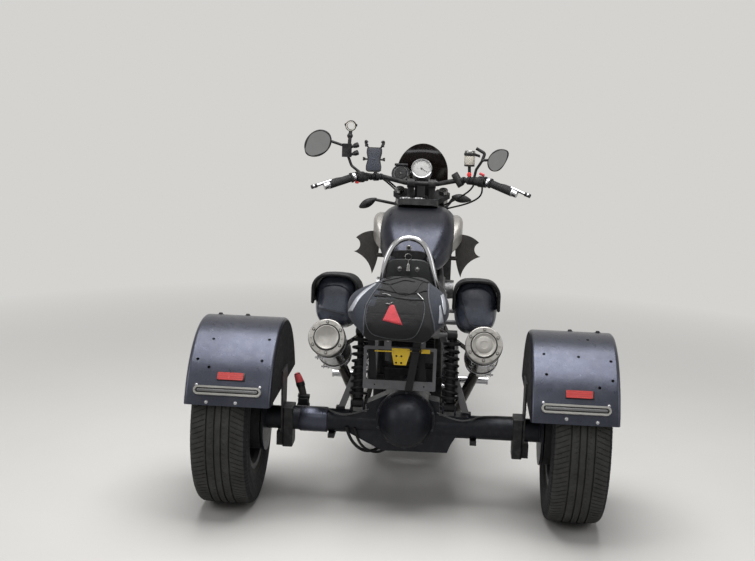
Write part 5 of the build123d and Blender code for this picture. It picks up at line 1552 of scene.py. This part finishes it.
def make_axle_details():
    sleeve = bmesh.new()
    rows = [(43.2, 0), (46.4, 0.6), (47.2, 2), (47.2, 101), (46.4, 102.4), (43.2, 103)]
    lathe(sleeve, at(0, 281, wheel_radius), leftward, rows, 64)
    placed("axle_sleeve", sleeve, "body_blue_black")
    ring, heads = bmesh.new(), bmesh.new()
    centre = at(-62, -12, 362)
    lathe(ring, centre, back, [(108.3, -1.5), (109.4, 0.4), (109.4, 2.2), (108.3, 3)], 96)
    placed("diff_gasket", ring, "flange_grey")
    for spot in round_places(centre + back * 0.01, 103.6, 10, leftward, upward, 18):
        lathe(heads, spot, back, [(6.2, -2), (6.2, 1), (4.6, 1.2), (4.6, 4.6), (4, 5.2), (0, 5.2)], 6)
    plug = [(14.6, -3), (14.6, 0), (13.8, 0.8), (9, 0.8), (9, 3.6), (8.4, 4.2), (0, 4.2)]
    lathe(heads, at(-152, -46, 336), back, plug, 24)
    placed("diff_bolts", heads, "flange_grey")
    foot, knee, tip = at(100, 384, 376), at(106, 402, 434), at(110, 416, 470)
    axis = (knee - foot).normalized()
    grip, band, end, base = bmesh.new(), bmesh.new(), bmesh.new(), bmesh.new()
    lathe(grip, foot, axis, [(12.6, 6), (13.2, 8), (14.4, 40), (14.9, 46), (14.9, 50), (12, 50)], 28)
    lathe(band, foot, axis, [(15.2, 49), (16.6, 50), (16.9, 60), (16, 66), (14, 67)], 28)
    axis = (tip - knee).normalized()
    cap = [(15.4, 2), (15.8, 5), (14.6, 20), (12.6, 33), (9.6, 39.5), (5, 42), (0, 42.4)]
    lathe(end, knee, axis, cap, 28)
    placed("lever_grip", grip, "grip_grey")
    placed("lever_band", band, "trim_black")
    placed("lever_tip", end, "lever_red")
    brick(base, at(103, 387, 366), (fore, leftward, upward), (52, 38, 31), 1.5)
    brick(base, at(102, 386, 386), (Vector((1, 0.1, 0)), Vector((-0.1, 1, 0.1)), Vector((0, -0.1, 1))),
          (38, 46, 9), 1.5)
    placed("lever_base", base, "trim_black")


# Wheels: nuts and caps

def make_wheel_details():
    for name, side in sides:
        nuts = bmesh.new()
        out = leftward * side
        for spot in round_places(at(0, side * 665, wheel_radius), 56, 5, fore, upward):
            lathe(nuts, spot, out, [(8.6, -1), (8.6, 9), (7.8, 10.5), (5, 12), (0, 12.4)], 6)
        lathe(nuts, at(0, side * 669, wheel_radius), out, [
            (33, -3), (33, 2), (31, 4.5), (26, 6), (24.5, 5), (10, 6.4), (0, 6.8),
        ], 48)
        placed("wheel_nuts_" + name, nuts, "brushed_steel", "rear_wheel_" + name)
    front = bmesh.new()
    for _, side in sides:
        out = leftward * side
        hub = [(31, -1), (31, 1.5), (27, 3), (20, 3.2), (20, 1.5), (9.6, 1.5)]
        lathe(front, at(wheelbase, side * 70, wheel_radius), out, hub, 40)
        for spot in round_places(at(wheelbase, side * 64.5, wheel_radius), 42, 8, fore, upward, 22.5):
            bolt(front, spot, out, 3.6, 3.2)
    placed("front_hub_caps", front, "brushed_steel", "front_wheel")


# Engine: rims and bolts of its round covers

engine_covers = [
    # x, z, side, radius, depth beyond the crankcase
    (728, 385, -1, 104, 48), (900, 370, -1, 72, 34), (840, 385, 1, 96, 44), (665, 360, 1, 66, 30),
]
crankcase_half_width = 150
cover_bolts = 7
cover_bolt_start = math.degrees(0.3)


def make_engine_details():
    heads, rims = bmesh.new(), bmesh.new()
    for x, z, side, radius, depth in engine_covers:
        out = leftward * side
        centre = at(x, side * (crankcase_half_width + depth), z)
        lathe(rims, centre, out, [
            (radius * 0.72, -1), (radius * 0.72, 1.6), (radius * 0.68, 2.6), (radius * 0.6, 2.6),
            (radius * 0.57, 1), (radius * 0.2, 1.4), (radius * 0.17, 3), (0, 3.2),
        ], 64)
        for spot in round_places(centre, radius * 0.8, cover_bolts, fore, upward, cover_bolt_start):
            bolt(heads, spot, out, 4.2, 4)
    placed("cover_rims", rims, "engine_silver")
    placed("cover_bolts", heads, "brushed_steel")


# Cockpit: everything here turns with the bars, but for the console on the tank

bar_end = (-317, 408, 284)
bar_knee = (-265, 298, 322)
bar_inner = (-171, 175, 320)
brake_blade = [(-252, 400, 301), (-264, 424, 293), (-277, 450, 283), (-287, 470, 276)]
switch_axes = (Vector((0.2, 0.55, 0.85)), Vector((0, -0.85, 0.55)), Vector((-1, 0, 0.2)))


def on_side(place, side):
    """A point of the front end on the left, or its mirror image on the right."""
    x, y, z = place
    return ahead(x, y * side, z)


def bar_point(distance, side):
    """A point on the bar's outer straight, in millimetres inward from its end."""
    end, knee = on_side(bar_end, side), on_side(bar_knee, side)
    return end + (knee - end).normalized() * (distance / 1000)


def perch_point(distance, side):
    """A point on the bar's middle straight, in millimetres inward from the grip's knee."""
    knee, inner = on_side(bar_knee, side), on_side(bar_inner, side)
    return knee + (inner - knee).normalized() * (distance / 1000)


def make_bar_side(rubber, bright, dark, side):
    """One side of the bar: ribbed grip, weight, collar, lever's ball and switch housings."""
    end = bar_point(0, side)
    inward = bar_point(100, side) - end
    rows = [(11.5, 6), (16.4, 6), (17.2, 7.5)]
    for rib in range(18):
        along = 9 + rib * 5.7
        rows += [(17.4, along), (17.4, along + 3.4), (16.2, along + 4.0), (16.2, along + 5.1)]
    rows += [(17.4, 112), (22.4, 113.5), (22.6, 119), (21.6, 121.5), (12, 122)]
    lathe(rubber, end, inward, rows, 32)
    lathe(bright, end, inward, [
        (11.4, -17), (13.6, -16.4), (15.2, -13), (15.4, 3), (17.9, 4), (17.9, 9), (16, 9.6), (11.4, 9.6),
    ], 36)
    collar = [(12, 0), (20.4, 0.4), (20.8, 2), (20.8, 11), (20, 12.6), (12, 13)]
    lathe(bright, bar_point(121, side), inward, collar, 36)
    # The blade's outer half and its ball are bright
    blade = [on_side(place, side) for place in brake_blade]
    pipe(bright, eased(blade, 4), 7.0, 14)
    ball = [(6.6, -4), (9.2, 0), (9.6, 4), (8.6, 9), (5.4, 12), (0, 13)]
    lathe(bright, blade[-1], blade[-1] - blade[-2], ball, 24)
    # Switch housings with their split line and rockers
    knee = perch_point(0, side)
    pod_axis = perch_point(50, side) - perch_point(14, side)
    for near, far, radius in ((13.4, 50.6, 24.6), (48.6, 70.6, 19.6)):
        split = (near + far) / 2
        lathe(dark, knee, pod_axis, [
            (12, near), (radius - 2, near), (radius, near + 2), (radius, split - 0.6),
            (radius - 0.9, split), (radius, split + 0.6), (radius, far - 2), (radius - 2, far), (12, far),
        ], 40)
    for shift, lift in ((22, 8), (36, 12)):
        spot = perch_point(shift, side) + Vector((-24.5, 0, lift)) / 1000
        brick(dark, spot, (leftward, upward, back), (9, 12, 7), 1.5)


def make_bar_details():
    rubber, bright, dark, red, pink = (bmesh.new() for _ in range(5))
    for _, side in sides:
        make_bar_side(rubber, bright, dark, side)
    rider_way = Vector((-1, 0, 0.2))
    rocker_axes = (Vector((0.3, 1, 0.35)), Vector((0, -0.3, 1)), rider_way)
    button = [(10, -10), (10, 3), (9, 4.6), (5, 5.4), (0, 5.6)]
    lathe(red, ahead(-249, -212, 352), rider_way, button, 24)
    brick(pink, ahead(-250, -268, 355), rocker_axes, (26, 12, 12), 3)
    brick(red, ahead(-268, 283, 298), (leftward, upward, rider_way), (16, 8, 10), 2)
    brick(dark, ahead(-164, -163, 319), switch_axes, (66, 32, 30), 3)
    brick(dark, ahead(-183, -163, 319), switch_axes, (54, 22, 8), 2)
    clamp = [(10, -1), (14.5, 0), (15, 1), (15, 9), (14.5, 10), (10, 11)]
    for shift, side in ((86, 1), (140, 1), (132, -1)):
        axis = perch_point(150, side) - perch_point(0, side)
        lathe(dark, perch_point(shift, side), axis, clamp, 28)
    grips = placed("grip_sleeves", rubber, "grip_rubber", "steering", 30)
    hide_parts("grips")
    placed("bar_bright_parts", bright, "chrome", "steering")
    placed("switch_housings", dark, "trim_black", "steering")
    placed("stop_button", red, "button_red", "steering")
    placed("start_rocker", pink, "lever_red", "steering")


def make_fluid_cup():
    """The brake fluid's cup: cream body, black clamp ring and a metal lid."""
    cup = perch_point(104, -1) + Vector((0.004, 0.004, 0.064))
    cream, ring, lid = bmesh.new(), bmesh.new(), bmesh.new()
    wall = [(8, -1.5), (14, -1), (21, 4), (23.8, 10), (24.2, 44), (23.6, 50)]
    band = [(23.4, 47), (25.4, 48), (25.8, 50), (25.8, 57), (25.2, 59), (23, 59)]
    top = [(23.2, 58), (23.6, 60), (23.4, 67), (22, 68.8), (19, 68.8), (18, 67.8), (0, 67.8)]
    lathe(cream, cup, upward, wall, 48)
    lathe(ring, cup, upward, band, 48)
    lathe(lid, cup, upward, top, 48)
    for spot in round_places(cup + upward * 0.0686, 20.5, 4, fore, leftward, 45):
        bolt(lid, spot, upward, 2.2, 2)
    ear = cup + Vector((0.012, -0.03, 0.05))
    brick(ring, ear, (Vector((0, 1, 0.3)), fore, upward), (34, 14, 12), 2)
    placed("cup_body", cream, "cup_cream", "steering")
    placed("cup_ring", ring, "trim_black", "steering")
    placed("cup_lid", lid, "brushed_steel", "steering")


mirror_outlines = {
    # y and z of the front end, in order round each glass
    "left": [(525, 439), (501, 502), (453, 524), (416, 509), (404, 477), (425, 428), (487, 402), (517, 414)],
    "right": [(-289, 406), (-302, 443), (-344, 469), (-378, 460), (-369, 409), (-335, 371), (-306, 373)],
}


def make_mirror_glass():
    for name, outline in mirror_outlines.items():
        glass = bmesh.new()
        smooth = curved(outline, 8)
        middle = Vector((sum(y for y, _ in smooth), sum(z for _, z in smooth))) / len(smooth)
        rings = []
        for keep, shift in ((0.90, 1.5), (0.90, -0.6), (0.87, -0.68), (0.6, -0.9), (0.25, -1.0)):
            ring = []
            for y, z in smooth:
                spread = (Vector((y, z)) - middle) * keep + middle
                ring.append(ahead(-243 + shift, spread.x, spread.y))
            rings.append(ring)
        skin(glass, rings)
        placed("mirror_glass_" + name, glass, "mirror_glass", "steering", 50)


def round_dial(place, out, radius, parts, ticks=40, sweep=300):
    """A dial: rim, face, ticks round it and a needle; the radius in millimetres."""
    rim, face, marks, needle = parts
    across, up = frame_of(out)
    if up.z < 0:
        up = -up
    lathe(rim, place, out, [
        (radius - 0.5, -3), (radius, -0.5), (radius + 1.2, 1.6), (radius + 3.4, 2.4), (radius + 5.4, 1.2),
        (radius + 5.9, -3), (radius + 5.9, -9), (radius, -9), (radius - 0.5, -3),
    ], 64)
    lathe(face, place, out, [(radius, -6), (radius, -3.6), (radius - 1, -3.2), (0, -3.2)], 64)
    for step in range(ticks + 1):
        turn = math.radians(90 + sweep / 2 - sweep * step / ticks)
        line = across * math.cos(turn) + up * math.sin(turn)
        side = line.cross(out)
        long = 6.5 if step % 5 == 0 else 3.4
        wide = 1.3 if step % 5 == 0 else 0.7
        middle = place + line * ((radius - 2.5 - long / 2) / 1000) - out * 0.0029
        scale = radius / 42
        brick(marks, middle, (line, side, out), (long * scale, wide * scale, 0.5), 0.1)
    line = (across * -0.55 + up * -0.35).normalized()
    brick(needle, place + line * (radius * 0.3 / 1000) - out * 0.002, (line, line.cross(out), out),
          (radius * 0.86, 1.5 * radius / 42, 0.8), 0.2)
    hub = [(radius * 0.11, -3), (radius * 0.11, -1.2), (radius * 0.07, -0.6), (0, -0.5)]
    lathe(needle, place, out, hub, 20)


def place_dial(parts, names, body):
    """The four pieces of one or more dials: rims, faces, marks and needles."""
    worn = (("chrome", True), ("dial_white", False), ("mark_black", False), ("mark_black", False))
    for shape, name, (surface, own_slot) in zip(parts, names, worn):
        placed(name, shape, surface, body)


def make_gauge():
    parts = [bmesh.new() for _ in range(4)]
    tilt = math.radians(28)
    out = Vector((-math.cos(tilt), 0, math.sin(tilt)))
    round_dial(ahead(-119, 3, 360) + out * 0.0006, out, 42, parts)
    place_dial(parts, ("gauge_rim", "gauge_dial", "gauge_marks", "gauge_needle"), "steering")
    # The dark pod beside it has a ring, two slots and a pale lamp in the middle
    pod, lamp, band, visor = bmesh.new(), bmesh.new(), bmesh.new(), bmesh.new()
    out = Vector((-24, 0, 9)).normalized()
    place = ahead(-115, 97, 334)
    lathe(pod, place, out, [
        (41.6, -25), (42, -2), (40.6, 1.4), (37, 2.2), (34.5, 1), (33, -0.2), (25, 0.4), (24, 1.4),
        (12, 1.8), (0, 1.8),
    ], 64)
    lathe(lamp, place, out, [(3.6, 1), (3.6, 2.8), (2.4, 3.6), (0, 3.8)], 20)
    across, up = frame_of(out)
    for turn in (math.radians(200), math.radians(160)):
        spot = place + (across * math.cos(turn) + up * math.sin(turn)) * 0.03
        brick(pod, spot + out * 0.001, (across, up, out), (3, 14, 3), 0.6)
    lathe(band, place - out * 0.016, out, [(42.2, -5), (43.2, -4.4), (43.2, 4.4), (42.2, 5)], 64)
    lathe(visor, ahead(-104, 97, 372), leftward, [(4.5, -30), (6, -27), (6, 27), (4.5, 30)], 20)
    placed("side_pod_face", pod, "trim_black", "steering")
    placed("side_pod_lamp", lamp, "lamp_diffuser", "steering")
    placed("side_pod_band", band, "brushed_steel", "steering")
    placed("side_pod_visor", visor, "trim_black", "steering")


def make_console():
    """Two small dials and a switch panel in the console on the tank."""
    parts = [bmesh.new() for _ in range(4)]
    lean = math.radians(18)
    up = Vector((math.sin(lean), 0, math.cos(lean)))
    for y in (62, 6):
        round_dial(at(972.2, y, 1061.2) + up * 0.004, up, 22, parts, 20, 240)
    place_dial(parts, ("console_rims", "console_dials", "console_marks", "console_needles"), "chassis")
    panel, keys = bmesh.new(), bmesh.new()
    along = up.cross(leftward)
    middle = at(971.5, -50, 1059.3)
    brick(panel, middle + up * 0.001, (along, leftward, up), (44, 47, 4), 1.5)
    for row in (-12, 0, 12):
        brick(keys, middle + up * 0.0034 + along * (row / 1000), (leftward, along, up), (30, 6, 2), 0.6)
    placed("console_panel", panel, "holder_plastic")
    placed("console_keys", keys, "trim_black")


def make_holder_details():
    lean = math.radians(72)
    out = Vector((-math.sin(lean), 0, math.cos(lean)))
    up = Vector((math.cos(lean), 0, math.sin(lean)))
    across = leftward
    centre = ahead(-247, 212, 401)

    def spot(y, z, height):
        """A place on the holder: across it, up it and out of it, in millimetres."""
        return centre + across * (y / 1000) + up * (z / 1000) + out * (height / 1000)

    pad, claws, knobs = bmesh.new(), bmesh.new(), bmesh.new()
    half = [(50, 20), (45, 29), (28, 29.5), (0, 23), (-28, 29.5), (-45, 29), (-50, 20)]
    outline = curved([(y, z) for z, y in half] + [(-y, z) for z, y in reversed(half)], 4)
    rings = []
    for keep, height in ((1, 3.8), (1, 5.4), (0.97, 6.0)):
        rings.append([spot(y * keep, z * keep, height) for y, z in outline])
    skin(pad, rings)
    for z in (26, -22):
        brick(pad, spot(0, z, 6.2), (across, up, out), (26, 2.4, 1.2), 0.5)
    lathe(pad, centre + out * 0.006, out, [(4.5, -1), (4.5, 0.8), (3.6, 1.4), (0, 1.4)], 24)
    claw_line = ((33, 62, 1), (38, 70, 4), (40, 78, 12), (36, 78, 19), (31, 72, 20))
    for _, side in sides:
        hook = [spot(side * y, z, height) for y, z, height in claw_line]
        pipe(claws, eased(hook, 4), 6, 12, taper=[7 - 2.4 * k / 16 for k in range(17)])
        for z in (5, -3):
            brick(claws, spot(side * 44, z, 5), (across, up, out), (11, 4, 12), 1)
    placed("holder_pad", pad, "holder_plastic", "steering")
    placed("holder_claws", claws, "trim_black", "steering")
    make_camera_ring(knobs)


def make_camera_ring(knobs):
    """The two knobs on the mirror's stalk and the ring of the camera mount, with its pale lining."""
    for height in (452, 418):
        start = ahead(-236, 302, height + 5)
        axis = ahead(-236, 284, height + 12) - start
        lathe(knobs, start, axis, [
            (7, -6), (9, -5), (9, 0), (11, 1.5), (12, 6), (12, 17), (10.5, 20), (6, 21), (0, 21),
        ], 7)
    x, y, z = -205, 323, 544
    lathe(knobs, ahead(x - 12, y, z), fore, [
        (16.4, 0), (18, -0.8), (22.6, -0.8), (23.9, 0.6), (23.9, 22.6), (22.6, 24), (18, 24), (16.4, 23),
        (16.4, 0),
    ], 48)
    for turn in (0.2, 3.0):
        spot = ahead(x, y + 24 * math.cos(turn), z + 24 * math.sin(turn))
        brick(knobs, spot, (leftward, upward, fore), (9, 11, 16), 2)
    placed("mount_knobs", knobs, "trim_black", "steering")
    liner = bmesh.new()
    lathe(liner, ahead(x - 12.8, y, z), fore, [
        (16.5, -0.4), (20.6, -0.4), (20.6, 1.4), (16.5, 1.4), (16.5, -0.4),
    ], 48)
    placed("mount_liner", liner, "cup_cream", "steering")


def make_lamp_details():
    rim, lens, shell = bmesh.new(), bmesh.new(), bmesh.new()
    place = ahead(11, 0, 157)
    lathe(rim, place, fore, [
        (86, 70), (92.6, 78), (94, 84), (94, 98), (92.6, 102), (88, 103.4), (85, 102), (84.5, 99),
    ], 72)
    lathe(lens, place, fore, [(84.4, 100), (70, 106.4), (44, 110.6), (20, 112.8), (0, 113.4)], 72)
    placed("headlight_rim", rim, "chrome", "steering")
    placed("headlight_lens", lens, "lamp_glass", "steering")
    bucket = [(0, -0.6), (30, -0.6), (60, -0.6), (74, 14), (86.8, 34), (91.4, 60), (92.6, 84)]
    lathe(shell, place, fore, bucket, 72)
    placed("headlight_bucket", shell, "trim_black", "steering")


make_camera()
make_cords()
make_floor()
make_room()
make_lamps()
dress_nodes()
make_tyres()
make_wheel_details()
make_guard_details()
make_muffler_details()
make_axle_details()
make_straps()
make_hoop_details()
make_engine_details()
make_bar_details()
make_fluid_cup()
make_mirror_glass()
make_gauge()
make_console()
make_holder_details()
make_lamp_details()
make_tail_bag()
make_saddlebags()
make_seat()
